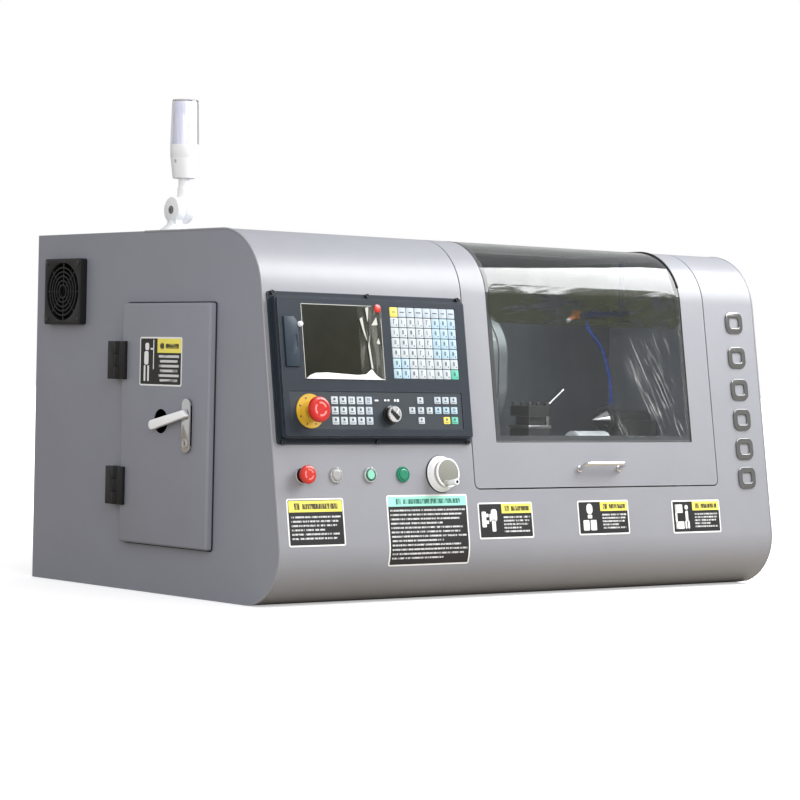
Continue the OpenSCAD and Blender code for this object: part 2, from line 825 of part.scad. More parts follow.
// Places children on the axis of the crank.
module at_crank(w) {
    rotate(crank_angle) translate([crank_off, 0, w]) children();
}

module handwheel_dial() color("gray") on_front(wheel_x, buttons_s) difference() {
    union() {
        translate([0, 0, wheel_h + slide_gap]) cylinder(r = dial_neck_r, h = 7);
        translate([0, 0, dial_cap_w]) cylinder(r = dial_r, h = dial_out - dial_cap_w);
        translate([0, 0, -18]) cylinder(r = dial_shaft_r, h = 32);
        at_crank(dial_out - 1) cylinder(r1 = 6, r2 = 4.5, h = crank_foot_h + 1);
    }
    at_crank(dial_out - 1) cylinder(r = crank_pin_r + fit, h = 10);
}

module handwheel_knob() color("black") on_front(wheel_x, buttons_s) {
    at_crank(dial_out - 0.5) cylinder(r = crank_pin_r, h = crank_foot_h + 2);
    at_crank(dial_out + crank_foot_h + slide_gap) cylinder(r1 = 4.5, r2 = 5.5, h = crank_len);
}

// ---- Signal lamp ----
module lamp_foot() color("whitesmoke") {
    x0 = lamp_x - 9 - knuckle_t;
    difference() {
        union() {
            translate([x0 + knuckle_t / 2, lamp_y, body_h])
                cylinder(r1 = 27, r2 = 24, h = 5);
            translate([x0 + knuckle_t / 2, lamp_y, body_h + 5])
                cylinder(r1 = 24, r2 = 10, h = 15);
            block([x0, lamp_y - 14, body_h + 3], [x0 + knuckle_t, lamp_y + 14, knuckle_z]);
            rod_x(x0, knuckle_t, knuckle_r, lamp_y, knuckle_z);
        }
        block([x0 + knuckle_t, lamp_y - 30, body_h + 12],
            [x0 + 60, lamp_y + 30, knuckle_z + 30]);
    }
    rod_x(x0 + 1, knuckle_t + 11, 5, lamp_y, knuckle_z);
}

module lamp_stem() color("gainsboro") {
    x0 = lamp_x - 9 + slide_gap;
    difference() {
        union() {
            rod_x(x0, knuckle_t, knuckle_r, lamp_y, knuckle_z);
            rod_z(lamp_x, lamp_y, knuckle_z, 41, sleeve_r);
            rod_z(lamp_x, lamp_y, knuckle_z, head_z - knuckle_z, pole_r);
        }
        rod_x(x0 - 1, 14, 5 + fit, lamp_y, knuckle_z);
        block([x0 - 20, lamp_y - 20, knuckle_z], [x0, lamp_y + 20, knuckle_z + 40]);
    }
}

module lamp_head() color("whitesmoke") translate([lamp_x, lamp_y, head_z]) {
    cylinder(r1 = head_foot_r, r2 = lamp_r - 0.7, h = head_h * 0.6);
    translate([0, 0, head_h * 0.6])
        cylinder(r1 = lamp_r - 0.7, r2 = lamp_r, h = head_h * 0.4);
}

module lamp_lens() color([0.92, 0.92, 0.98, 0.8])
    translate([lamp_x, lamp_y, head_z + head_h]) difference() {
        cylinder(r1 = lamp_r, r2 = lens_top_r, h = lens_h);
        translate([0, 0, -1])
            cylinder(r1 = lamp_r - lens_t, r2 = lens_top_r - lens_t, h = lens_h - 3);
    }

// ---- Bed and headstock ----
module bed() color("dimgray") {
    y0 = axis_y - bed_half;
    y1 = axis_y + bed_half;
    block([bed_x0, y0, bed_foot_z], [bed_x1, y1, bed_foot_z + 17]);
    for (x = [bed_x0, bed_x1 - 90, (bed_x0 + bed_x1) / 2 - 45])
        block([x, y0, plate_t], [x + 90, y1, bed_foot_z + 1]);
    for (y = [y0, y1 - wall_t])
        block([bed_x0, y, bed_foot_z], [bed_x1, y + wall_t, bed_top_z]);
    for (y = [y0, y1 - way_w])
        block([bed_x0, y, bed_top_z - way_t], [bed_x1, y + way_w, bed_top_z]);
    for (x = [bed_x0, bed_x1 - 18]) difference() {
        block([x, y0 + 1, bed_foot_z], [x + 18, y1 - 1, bed_top_z - 1]);
        rod_x(x - 1, 20, screw_r + fit, axis_y, screw_z);
    }
}

module lead_screw() color("silver") {
    rod_x(bed_x0 - 20, bed_x1 - bed_x0 + 21, screw_r, axis_y, screw_z);
    rod_x(bed_x0 - 32, 14, 22, axis_y, screw_z);
}

module headstock() color("slategray") {
    difference() {
        block([head_x0, axis_y - head_half, bed_top_z],
            [head_x1, axis_y + head_half, head_top_z]);
        rod_x(head_x0 - 1, head_x1 - head_x0 + 2, journal_r + fit, axis_y, spindle_z);
    }
    rod_x(head_x1 - 2, guard_x0 + 24 - head_x1, guard_pin_r,
        guard_pivot.x, guard_pivot.y);
}

module spindle() color("silver") difference() {
    union() {
        rod_x(pulley_x - 20, nose_x - pulley_x + 20, journal_r, axis_y, spindle_z);
        rod_x(head_x1 + 1, nose_x - head_x1 - 1, nose_r, axis_y, spindle_z);
        rod_x(pulley_x, pulley_w, pulley_r - 1, axis_y, spindle_z);
        for (x = [pulley_x, pulley_x + pulley_w - 3])
            rod_x(x, 3, pulley_r + 6, axis_y, spindle_z);
    }
    rod_x(pulley_x - 21, nose_x - pulley_x + 30, spindle_bore_r, axis_y, spindle_z);
}

// Children drawn for the top jaw, turned to jaw i.
module at_jaw(i) {
    translate([0, axis_y, spindle_z]) rotate([i * 120, 0, 0]) children();
}

module chuck() color("gray") difference() {
    rod_x(nose_x, chuck_x1 - nose_x, chuck_r, axis_y, spindle_z);
    rod_x(nose_x - 1, chuck_x1 - nose_x + 2, 11, axis_y, spindle_z);
    for (i = [0:2]) at_jaw(i)
        block([jaw_x0 - jaw_gap, -jaw_w / 2 - jaw_gap, 0],
            [chuck_x1 + 1, jaw_w / 2 + jaw_gap, chuck_r + 5]);
}

// One stepped jaw.
module jaw(i) {
    at_jaw(i) {
        block([jaw_x0, -jaw_w / 2, jaw_in], [chuck_x1 + 8, jaw_w / 2, jaw_out]);
        block([jaw_x0, -jaw_w / 2, jaw_in], [jaw_x1, jaw_w / 2, jaw_in + 12]);
    }
}

module jaw_1() color("silver") jaw(0);
module jaw_2() color("silver") jaw(1);
module jaw_3() color("silver") jaw(2);

module spindle_motor() color("#303438") difference() {
    union() {
        block([head_x0 + 2, motor_y - motor_half, motor_z - motor_half],
            [head_x0 + 160, motor_y + motor_half, motor_z + motor_half]);
        block([head_x0 + 20, motor_y - motor_half - 10, plate_t],
            [head_x0 + 150, motor_y + motor_half + 10, plate_t + 14]);
        for (x = [head_x0 + 30, head_x0 + 120])
            block([x, motor_y - 30, plate_t],
                [x + 20, motor_y + 30, motor_z - motor_half + 1]);
    }
    rod_x(head_x0, 60, motor_shaft_r + fit, motor_y, motor_z);
}

module motor_pulley() color("silver") {
    rod_x(pulley_x, pulley_w, motor_pulley_r - 1, motor_y, motor_z);
    for (x = [pulley_x, pulley_x + pulley_w - 3])
        rod_x(x, 3, motor_pulley_r + 6, motor_y, motor_z);
    rod_x(pulley_x, pulley_w + 50, motor_shaft_r, motor_y, motor_z);
}

// Outline of the belt run round both pulleys, at a height over their rims.
module belt_loop(over) {
    hull() {
        translate([axis_y, spindle_z]) circle(pulley_r - 1 + over);
        translate([motor_y, motor_z]) circle(motor_pulley_r - 1 + over);
    }
}

module drive_belt() color("black") along_x(pulley_x + 4, pulley_w - 8) difference() {
    belt_loop(belt_gap + belt_t);
    belt_loop(belt_gap);
}

// ---- Carriage ----
module saddle() color("dimgray") {
    y0 = axis_y - bed_half;
    y1 = axis_y + bed_half;
    block([saddle_x - 80, y0 - 90, saddle_z0], [saddle_x + 80, y1 + 12, saddle_z0 + saddle_t]);
    block([saddle_x - rail_w / 2, y0 - 90, saddle_z0],
        [saddle_x + rail_w / 2, y1 + 12, saddle_z0 + saddle_t + rail_t]);
    for (y = [y0 - 14, y1 + slide_gap])
        block([saddle_x - 80, y, bed_top_z - way_t], [saddle_x + 80, y + 14 - slide_gap,
            saddle_z0 + 1]);
    difference() {
        block([saddle_x - 25, axis_y - 20, screw_z - 18],
            [saddle_x + 25, axis_y + 20, saddle_z0 + 1]);
        rod_x(saddle_x - 30, 60, screw_r + fit, axis_y, screw_z);
    }
}

module cross_slide() color("gray") difference() {
    union() {
        block([saddle_x - 75, mill_y - 40, slide_z0],
            [saddle_x + 130, axis_y - 49, slide_top_z]);
        block([post_x - 37, post_y - 33, slide_z0], [stud_x + 13, post_y + 33, post_z]);
        block([mill_x0 + 11, mill_y - 30, slide_z0],
            [mill_x0 + mill_len - 10, mill_y + 26, mill_z - 3]);
        rod_z(stud_x, post_y, post_z - 1, 50, stud_r);
        rod_z(post_x, post_y, post_z - 1, post_foot_h + slot_h, stud_r);
    }
    block([saddle_x - rail_w / 2 - slide_gap, mill_y - 60, slide_z0 - 1],
        [saddle_x + rail_w / 2 + slide_gap, axis_y, slide_z0 + rail_t]);
    rod_x(mill_x0, mill_len, mill_r, mill_y, mill_z);
    for (x = [saddle_x + 55, saddle_x + 85])
        block([x, axis_y - 100, slide_top_z - 6], [x + 9, axis_y, slide_top_z + 1]);
}

module tool_post() color("gray") translate([post_x, post_y, post_z]) {
    core = post_side - 16;
    difference() {
        union() {
            translate([0, 0, slide_gap]) linear_extrude(post_foot_h - slide_gap)
                rrect(post_side, post_side, 2);
            translate([0, 0, post_foot_h - 1]) linear_extrude(slot_h + 2)
                square(core, center = true);
            translate([0, 0, post_foot_h + slot_h]) linear_extrude(post_cap_h)
                rrect(post_side, post_side, 2);
        }
        translate([0, 0, -1]) cylinder(r = stud_r + fit, h = post_foot_h + slot_h + 1);
    }
}

module post_lever() color("gainsboro") translate([stud_x, post_y, post_z]) {
    lever_top = 60;
    difference() {
        union() {
            translate([0, 0, slide_gap]) cylinder(r = lever_hub_r, h = lever_top + 4);
            translate([0, 0, lever_top]) rotate([0, 53, 0]) {
                cylinder(r = 2.4, h = 44);
                translate([0, 0, 43]) cylinder(r = 3.2, h = 8);
            }
        }
        translate([0, 0, -1]) cylinder(r = stud_r + fit, h = 51);
    }
}

module mill_motor() color("gainsboro") difference() {
    union() {
        rod_x(mill_x0 + 3, mill_len - 3, mill_r, mill_y, mill_z);
        rod_x(mill_x0, 3, mill_r - 2, mill_y, mill_z);
    }
    rod_x(mill_x0 - 1, 40, mill_shaft_r + fit, mill_y, mill_z);
}

module mill_collet() color("silver") {
    rod_x(mill_x0 - 24, 62, mill_shaft_r, mill_y, mill_z);
    rod_x(mill_x0 - 22, 21.5, 12, mill_y, mill_z);
    rod_x(mill_x0 - 50, 30, 4, mill_y, mill_z);
}

// ---- Tailstock ----
module tailstock() color("slategray") difference() {
    union() {
        block([tail_x0 + 3, axis_y - bed_half, bed_top_z],
            [tail_x1, axis_y + bed_half, bed_top_z + 26]);
        block([tail_x0 + 3, axis_y - 36, bed_top_z + 20], [tail_x1, axis_y + 36, spindle_z]);
        rod_x(tail_x0, tail_x1 - tail_x0, quill_r + tail_wall, axis_y, spindle_z);
    }
    rod_x(tail_x0 - 1, tail_x1 - tail_x0 - 12, quill_r + fit, axis_y, spindle_z);
}

module tail_quill() color("silver") difference() {
    union() {
        rod_x(quill_x0 - 2, 90, quill_r, axis_y, spindle_z);
        rod_x(quill_x0 - 6, 6, quill_r + 11, axis_y, spindle_z);
    }
    rod_x(quill_x0 - 7, 50, centre_shaft_r + fit, axis_y, spindle_z);
}

module tail_centre() color("white") {
    cone_x(centre_x, 28, 0.5, centre_r, axis_y, spindle_z);
    rod_x(centre_x + 28, 3, centre_r, axis_y, spindle_z);
    rod_x(centre_x + 26, 48, centre_shaft_r, axis_y, spindle_z);
}

// ---- Coolant and air ----
module coolant_pipe() color("#20305c") {
    rod_z(pipe_x, axis_y, pipe_z, body_h - sheet_t - pipe_z, pipe_r);
    rod_z(pipe_x, axis_y, body_h - sheet_t - 4, 4, 14);
    block([pipe_x - 12, axis_y - 12, pipe_z - 12], [pipe_x + 12, axis_y + 12, pipe_z + 12]);
    rod_x(line_x0, pipe_x - line_x0, line_r, axis_y, pipe_z);
    rod_z(tee_x, axis_y, tube_path[0].y, pipe_z - tube_path[0].y, tube_r + 2);
}

module coolant_hose() color("royalblue") {
    for (i = [0:segments - 1]) {
        x = line_x0 - 0.3 - i * segment_len;
        cone_x(x - segment_len, segment_len, 6.5, 9, axis_y, pipe_z);
    }
    translate([line_x0 - segments * segment_len, axis_y, pipe_z]) {
        translate([0, 8, 0]) rotate([90, 0, 0]) cylinder(r = 8.5, h = 16);
        rotate([0, -118, 0]) cylinder(r1 = 7, r2 = 3.5, h = 28);
    }
}

// Rings of the air tube, swept in the plane of the spindle axis.
function tube_dir(i) = let (a = tube_path[max(i - 1, 0)],
    b = tube_path[min(i + 1, len(tube_path) - 1)]) (b - a) / norm(b - a);
function tube_ring(i, sides) = [for (k = [0:sides - 1])
    let (p = tube_path[i], d = tube_dir(i), a = k * 360 / sides)
        [p.x - d.y * tube_r * cos(a), axis_y + tube_r * sin(a), p.y + d.x * tube_r * cos(a)]];

module air_tube() color("mediumblue") {
    sides = 8;
    rings = len(tube_path);
    points = [for (i = [0:rings - 1]) each tube_ring(i, sides)];
    walls = [for (i = [0:rings - 2], k = [0:sides - 1])
        [i * sides + k, i * sides + (k + 1) % sides,
            (i + 1) * sides + (k + 1) % sides, (i + 1) * sides + k]];
    caps = [[for (k = [sides - 1:-1:0]) k],
        [for (k = [0:sides - 1]) (rings - 1) * sides + k]];
    polyhedron(points, concat(walls, caps));
}

// ---- Chuck guard, drawn raised ----
// The guard's outline: two bends joined by straight walls, open below and behind.
module guard_wall(outer, inner) {
    difference() {
        guard_oval(outer);
        guard_oval(inner);
        polygon([guard_low, guard_low + 200 * [cos(guard_end), sin(guard_end)],
            guard_low + [200, -250], [guard_low.x + 200, guard_pivot.y - guard_hub_r - 3],
            [guard_low.x + 50, guard_pivot.y - guard_hub_r - 3]]);
    }
}

module guard_oval(r) {
    translate(guard_low) circle(r);
    translate(guard_high) circle(r);
    translate([guard_low.x - r, guard_low.y]) square([2 * r, guard_high.y - guard_low.y]);
}

module chuck_guard() color("gainsboro") difference() {
    union() {
        along_x(guard_x0, guard_len) guard_wall(guard_r - guard_rim_t,
            guard_r - guard_rim_t - guard_t);
        along_x(guard_x0 + guard_len - guard_rim_len, guard_rim_len)
            guard_wall(guard_r, guard_r - guard_rim_t - guard_t);
        rod_x(guard_x0, 20, guard_hub_r, guard_pivot.x, guard_pivot.y);
    }
    rod_x(guard_x0 - 1, 30, guard_pin_r + fit, guard_pivot.x, guard_pivot.y);
}

base_tray();
left_end_plate();
right_end_plate();
front_skin();
rear_cover();
chamber_liner();
hood_shell();
window();
hood_handle();
hood_hinge();
side_door();
door_lock();
door_lever();
door_hinge_posts();
door_hinge_leaves();
fan_housing();
fan_impeller();
panel_body();
display();
keypad();
usb_flap();
estop_ring();
estop_button();
override_knob();
button_bezels();
stop_button();
reset_button();
start_button();
cycle_button();
handwheel_body();
handwheel_dial();
handwheel_knob();
lamp_foot();
lamp_stem();
lamp_head();
lamp_lens();
bed();
headstock();
spindle();
chuck();
jaw_1();
jaw_2();
jaw_3();
spindle_motor();
motor_pulley();
drive_belt();
saddle();
cross_slide();
lead_screw();
tool_post();
post_lever();
mill_motor();
mill_collet();
tailstock();
tail_quill();
tail_centre();
coolant_pipe();
coolant_hose();
air_tube();
chuck_guard();
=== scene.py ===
"""Looks of an enclosed bench lathe with a milling head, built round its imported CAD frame.

Sizes are millimetres, as on a maker's drawing, and become metres when a piece is laid in
place. +X runs from the control end to the tailstock end, the operator stands on the -Y
side, and +Z is up.
"""

import json
import logging
import math
from contextlib import contextmanager
from dataclasses import dataclass, field
from enum import Enum
from typing import Iterator, Optional, Sequence

import bpy
from mathutils import Matrix, Vector


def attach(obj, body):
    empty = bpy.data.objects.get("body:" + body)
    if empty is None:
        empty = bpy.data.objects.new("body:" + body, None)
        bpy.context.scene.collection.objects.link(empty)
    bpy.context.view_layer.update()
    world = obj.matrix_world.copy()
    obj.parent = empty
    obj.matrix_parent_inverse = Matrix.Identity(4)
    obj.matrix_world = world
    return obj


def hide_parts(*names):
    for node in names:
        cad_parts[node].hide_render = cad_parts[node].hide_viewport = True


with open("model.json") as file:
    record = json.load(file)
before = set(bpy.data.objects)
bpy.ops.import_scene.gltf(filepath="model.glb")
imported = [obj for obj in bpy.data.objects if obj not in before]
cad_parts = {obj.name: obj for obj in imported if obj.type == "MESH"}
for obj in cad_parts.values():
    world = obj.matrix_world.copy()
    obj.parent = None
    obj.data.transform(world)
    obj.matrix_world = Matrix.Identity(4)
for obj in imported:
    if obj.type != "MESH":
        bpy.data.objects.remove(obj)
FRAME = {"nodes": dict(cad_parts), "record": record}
LOG = logging.getLogger("lathe")
MM = 0.001
Colour = tuple[float, float, float]
Triple = tuple[float, float, float]
Box = tuple[float, float, float, float]      # left, right, upper and lower edge
Profile = Sequence[tuple[float, float]]


# --------------------------------------------------------------------------- shape of the cabinet
@dataclass(frozen=True)
class CabinetShape:
    """Outline of the cabinet that panels, placards and seals follow."""

    width: float = 1200.0
    depth: float = 766.0
    height: float = 640.0
    top_r: float = 115.0
    bottom_r: float = 93.0
    lean: float = math.radians(8.5)

    @property
    def low(self) -> tuple[float, float]:
        """Centre (y, z) of the lower bend."""
        return (-self.depth / 2 + self.bottom_r, self.bottom_r)

    @property
    def top(self) -> tuple[float, float]:
        """Centre (y, z) of the upper bend."""
        rise = self.height - self.top_r - self.bottom_r
        run = (math.sin(self.lean) * rise + self.top_r - self.bottom_r) / math.cos(self.lean)
        return (self.low[0] + run, self.height - self.top_r)

    @property
    def ridge_y(self) -> float:
        """Where the plane of the front face would meet the roof."""
        c, s = math.cos(self.lean), math.sin(self.lean)
        y, z = self.top[0] - self.top_r * c, self.top[1] + self.top_r * s
        return y + (self.height - z) * math.tan(self.lean)

    @property
    def flat(self) -> tuple[float, float]:
        """Distances down the slope at which the flat part of the face starts and ends."""
        c, s = math.cos(self.lean), math.sin(self.lean)
        start = (self.height - self.top[1] - self.top_r * s) / c
        end = (self.height - self.low[1] - self.bottom_r * s) / c
        return start, end

    def contour(self, s: float, w: float = 0.0) -> tuple[float, float]:
        """The outline at a distance down the slope.

        Args:
            s: Distance along the outline; negative values run back over the roof.
            w: Distance outwards from the sheet.

        Returns:
            The point (y, z) in millimetres.
        """
        start, end = self.flat
        face = math.pi - self.lean
        if s > end:
            a = min(face + (s - end) / self.bottom_r, 1.5 * math.pi)
            r = self.bottom_r + w
            return self.low[0] + r * math.cos(a), self.low[1] + r * math.sin(a)
        if s >= start:
            c, n = math.cos(self.lean), math.sin(self.lean)
            return self.ridge_y - s * n - w * c, self.height - s * c + w * n
        a = face - (start - s) / self.top_r
        if a > math.pi / 2:
            r = self.top_r + w
            return self.top[0] + r * math.cos(a), self.top[1] + r * math.sin(a)
        spare = (start - s) - (face - math.pi / 2) * self.top_r
        return self.top[0] + spare, self.height + w

    def point(self, x: float, s: float, w: float = 0.0) -> Vector:
        """A point on the outline, in metres."""
        y, z = self.contour(s, w)
        return Vector((x, y, z)) * MM

    def face(self, x: float, s: float, w: float = 0.0) -> Matrix:
        """Lays a piece drawn in millimetres on the front: x across, y up the slope, z out.

        Args:
            x: Where its origin goes across the cabinet.
            s: Where its origin goes down the slope.
            w: Height of its origin above the sheet.

        Returns:
            The place, with the change from millimetres to metres.
        """
        c, n = math.cos(self.lean), math.sin(self.lean)
        origin = Vector((x, self.ridge_y - s * n - w * c, self.height - s * c + w * n)) * MM
        turn = Matrix.Rotation(math.pi / 2 - self.lean, 4, "X")
        return Matrix.Translation(origin) @ turn @ Matrix.Scale(MM, 4)


SHAPE = CabinetShape()


def at(x: float, y: float, z: float, turn: Optional[Matrix] = None) -> Matrix:
    """Lays a piece drawn in millimetres at a point, after an optional turn."""
    place = Matrix.Translation(Vector((x, y, z)) * MM)
    return place @ (turn or Matrix.Identity(4)) @ Matrix.Scale(MM, 4)


def turned_to(axis: str, degrees: float) -> Matrix:
    """A turn about one axis."""
    return Matrix.Rotation(math.radians(degrees), 4, axis)


ALONG_X = turned_to("Y", 90)       # a piece drawn along z comes to lie along +X
FACING_LEFT = turned_to("Y", -90) @ turned_to("Z", -90)  # drawn x runs to -Y, y runs up, z faces -X


# --------------------------------------------------------------------------- modelling
@contextmanager
def editing(mode: str = "VERT") -> Iterator[None]:
    """Edit mode with everything selected; normals point outwards when it ends.

    Args:
        mode: What the operators select: VERT, EDGE or FACE.

    Yields:
        Nothing.
    """
    bpy.ops.object.mode_set(mode="EDIT")
    bpy.ops.mesh.select_mode(type=mode)
    bpy.ops.mesh.select_all(action="SELECT")
    yield
    bpy.ops.mesh.select_all(action="SELECT")
    bpy.ops.mesh.remove_doubles(threshold=1e-4)
    bpy.ops.mesh.normals_make_consistent(inside=False)
    bpy.ops.object.mode_set(mode="OBJECT")


def deselect() -> None:
    """Leaves nothing selected, so that the next operator acts on its own piece only."""
    bpy.ops.object.select_all(action="DESELECT")


def pick(*pieces: bpy.types.Object) -> None:
    """Selects these pieces and makes the first one active."""
    deselect()
    for piece in pieces:
        piece.select_set(True)
    bpy.context.view_layer.objects.active = pieces[0]


def turned(profile: Profile, sides: int = 48) -> bpy.types.Object:
    """A turned piece about z.

    Args:
        profile: Radius and height at each step, from the foot up and over to the last cap.
        sides: Facets round the piece.

    Returns:
        The new piece, in millimetres.
    """
    deselect()
    radius, height = profile[0]
    bpy.ops.mesh.primitive_circle_add(vertices=sides, radius=radius, fill_type="NGON")
    with editing("FACE"):
        bpy.ops.transform.translate(value=(0, 0, height))
        for r, z in profile[1:]:
            bpy.ops.mesh.extrude_region_move(TRANSFORM_OT_translate={"value": (0, 0, z - height)})
            k = r / radius
            bpy.ops.transform.resize(value=(k, k, 1), center_override=(0, 0, z))
            radius, height = r, z
    return bpy.context.object


def plate(w: float, h: float, corner: float, t: float, steps: int = 5) -> bpy.types.Object:
    """A plate with rounded corners, centred on the origin, rising from z = 0.

    Args:
        w: Width along x.
        h: Height along y.
        corner: Radius of the corners, or 0 for sharp ones.
        t: Thickness.
        steps: Facets in each corner.

    Returns:
        The plate, in millimetres.
    """
    deselect()
    bpy.ops.mesh.primitive_plane_add(size=1)
    piece = bpy.context.object
    piece.scale = (w, h, 1)
    bpy.ops.object.transform_apply(location=False, rotation=False, scale=True)
    with editing():
        if corner > 0:
            bpy.ops.mesh.bevel(offset=corner, affect="VERTICES", segments=steps)
            bpy.ops.mesh.select_all(action="SELECT")
        bpy.ops.mesh.extrude_region_move(TRANSFORM_OT_translate={"value": (0, 0, t)})
    return piece


def block(size: Triple, centre: Triple = (0, 0, 0),
          edge: float = 0.0) -> bpy.types.Object:
    """A block with rounded edges.

    Args:
        size: Its three sizes.
        centre: Its middle.
        edge: Radius of its edges.

    Returns:
        The block, in millimetres.
    """
    deselect()
    bpy.ops.mesh.primitive_cube_add(size=1)
    piece = bpy.context.object
    piece.scale = size
    piece.location = centre
    bpy.ops.object.transform_apply(location=True, rotation=False, scale=True)
    if edge > 0:
        soften(piece, edge)
    return piece


def soften(piece: bpy.types.Object, width: float, segments: int = 2,
           angle: float = 35.0) -> bpy.types.Object:
    """Rounds the sharp edges of a piece.

    Args:
        piece: The piece.
        width: Width of the round.
        segments: Facets across it.
        angle: Degrees above which an edge counts as sharp.

    Returns:
        The same piece.
    """
    pick(piece)
    bevel = piece.modifiers.new("edges", "BEVEL")
    bevel.width = width
    bevel.segments = segments
    bevel.limit_method = "ANGLE"
    bevel.angle_limit = math.radians(angle)
    bpy.ops.object.modifier_apply(modifier=bevel.name)
    return piece


def rod(points: Sequence[Sequence[float]], radius: float, closed: bool = False,
        sides: int = 4) -> bpy.types.Object:
    """A bent rod or bead along points, as a mesh.

    Args:
        points: The line that the rod follows.
        radius: Radius of the rod.
        closed: Whether the line joins up with its start.
        sides: Roundness; the rod gets 4 + 2 x sides facets.

    Returns:
        The rod, in the units of the points.
    """
    deselect()
    curve = bpy.data.curves.new("rod", "CURVE")
    curve.dimensions = "3D"
    curve.bevel_depth = radius
    curve.bevel_resolution = sides
    curve.use_fill_caps = not closed
    line = curve.splines.new("POLY")
    line.points.add(len(points) - 1)
    for knot, p in zip(line.points, points):
        knot.co = (*p, 1)
    line.use_cyclic_u = closed
    piece = bpy.data.objects.new("rod", curve)
    bpy.context.scene.collection.objects.link(piece)
    pick(piece)
    bpy.ops.object.convert(target="MESH")
    piece = bpy.context.object
    with editing():
        pass
    return piece


def rounded_path(corners: Sequence[Sequence[float]], radius: float, closed: bool = False,
                 steps: int = 6) -> list[Vector]:
    """A line through corners, each rounded off.

    Args:
        corners: The sharp corners.
        radius: Distance from a corner at which its round starts.
        closed: Whether the line is a loop.
        steps: Points in each round.

    Returns:
        The points of the rounded line.
    """
    pts = [Vector(c) for c in corners]
    out: list[Vector] = []
    count = len(pts)
    for i, p in enumerate(pts):
        if not closed and i in (0, count - 1):
            out.append(p)
            continue
        a, b = pts[i - 1] - p, pts[(i + 1) % count] - p
        start, end = p + a.normalized() * radius, p + b.normalized() * radius
        for k in range(steps + 1):
            t = k / steps
            out.append(start.lerp(p, t).lerp(p.lerp(end, t), t))
    return out


def smooth_path(knots: Sequence[Sequence[float]], steps: int = 5) -> list[Vector]:
    """A smooth line through all its knots.

    Args:
        knots: The points that it passes through.
        steps: Stretches between two knots.

    Returns:
        The points of the line.
    """
    pts = [Vector(k) for k in knots]
    ends = [2 * pts[0] - pts[1], *pts, 2 * pts[-1] - pts[-2]]
    out: list[Vector] = []
    for i in range(1, len(ends) - 2):
        a, b, c, d = ends[i - 1:i + 3]
        for k in range(steps):
            t = k / steps
            out.append(0.5 * (2 * b + (c - a) * t + (2 * a - 5 * b + 4 * c - d) * t * t
                              + (3 * b - a - 3 * c + d) * t ** 3))
    return [*out, pts[-1]]


def joined(pieces: Sequence[bpy.types.Object]) -> bpy.types.Object:
    """Joins pieces that share a finish into one.

    Args:
        pieces: The pieces, of which the first takes in the others.

    Returns:
        The joined piece.
    """
    pick(*pieces)
    if len(pieces) > 1:
        bpy.ops.object.join()
    return bpy.context.object


def copies(piece: bpy.types.Object, places: Sequence[Matrix]) -> bpy.types.Object:
    """Copies a piece to each place, each with its own mesh, and joins the copies.

    Args:
        piece: The piece, which is used up.
        places: Where the copies go.

    Returns:
        The joined copies.
    """
    made = []
    for place in places:
        twin = piece.copy()
        twin.data = piece.data.copy()
        bpy.context.scene.collection.objects.link(twin)
        twin.data.transform(place)
        made.append(twin)
    bpy.data.objects.remove(piece)
    return joined(made)


def wrapped(x0: float, x1: float, s0: float, s1: float, lift: float, thick: float,
            corner: float = 3.0) -> bpy.types.Object:
    """A thin sheet with rounded corners that follows the cabinet's outline.

    Args:
        x0: Left edge.
        x1: Right edge.
        s0: Upper edge, as a distance down the slope.
        s1: Lower edge.
        lift: Height of its underside above the cabinet.
        thick: Its thickness.
        corner: Radius of its corners.

    Returns:
        The sheet, in metres and in place.
    """
    piece = plate(x1 - x0, s1 - s0, corner, thick)
    with editing("FACE"):
        rows = max(2, int((s1 - s0) / 6))
        for i in range(1, rows):
            bpy.ops.mesh.select_all(action="SELECT")
            y = (s1 - s0) * (i / rows - 0.5)
            bpy.ops.mesh.bisect(plane_co=(0, y, 0), plane_no=(0, 1, 0))
    for v in piece.data.vertices:
        v.co = SHAPE.point((x0 + x1) / 2 + v.co.x, (s0 + s1) / 2 - v.co.y, lift + v.co.z)
    return piece


# --------------------------------------------------------------------------- shared effects
class Wiring:
    """Adds and links nodes in one tree."""

    def __init__(self, tree: bpy.types.NodeTree) -> None:
        """Starts with an empty tree."""
        self.tree = tree
        tree.nodes.clear()

    def add(self, kind: str, inputs: Optional[dict] = None, **settings: object) -> bpy.types.Node:
        """Adds a node.

        Args:
            kind: The node's type without its ShaderNode prefix.
            inputs: Values or output sockets for its inputs, by name or number.
            settings: Properties of the node.

        Returns:
            The new node.
        """
        prefix = "" if kind.startswith("Node") else "ShaderNode"
        node = self.tree.nodes.new(prefix + kind)
        for key, value in settings.items():
            setattr(node, key, value)
        for key, value in (inputs or {}).items():
            if isinstance(value, bpy.types.NodeSocket):
                self.tree.links.new(value, node.inputs[key])
            elif value is not None:
                node.inputs[key].default_value = value
        return node

    def maths(self, operation: str, a: object, b: object = None) -> bpy.types.NodeSocket:
        """The result of a Math node."""
        return self.add("Math", {0: a, 1: b}, operation=operation).outputs[0]

    def ramp(self, value: object, low: float, high: float, to_low: float = 0.0,
             to_high: float = 1.0) -> bpy.types.NodeSocket:
        """Maps a range of values to another, clamped."""
        return self.add("MapRange", {0: value, 1: low, 2: high, 3: to_low, 4: to_high}).outputs[0]

    def blend(self, factor: object, a: object, b: object) -> bpy.types.NodeSocket:
        """Mixes two colours.

        Args:
            factor: Share of the second colour, as a value or a socket.
            a: First colour.
            b: Second colour.

        Returns:
            The mixed colour's socket.
        """
        node = self.add("Mix", data_type="RGBA")
        for key, value in ((0, factor), (6, a), (7, b)):
            if isinstance(value, bpy.types.NodeSocket):
                self.tree.links.new(value, node.inputs[key])
            else:
                node.inputs[key].default_value = value
        return node.outputs[2]


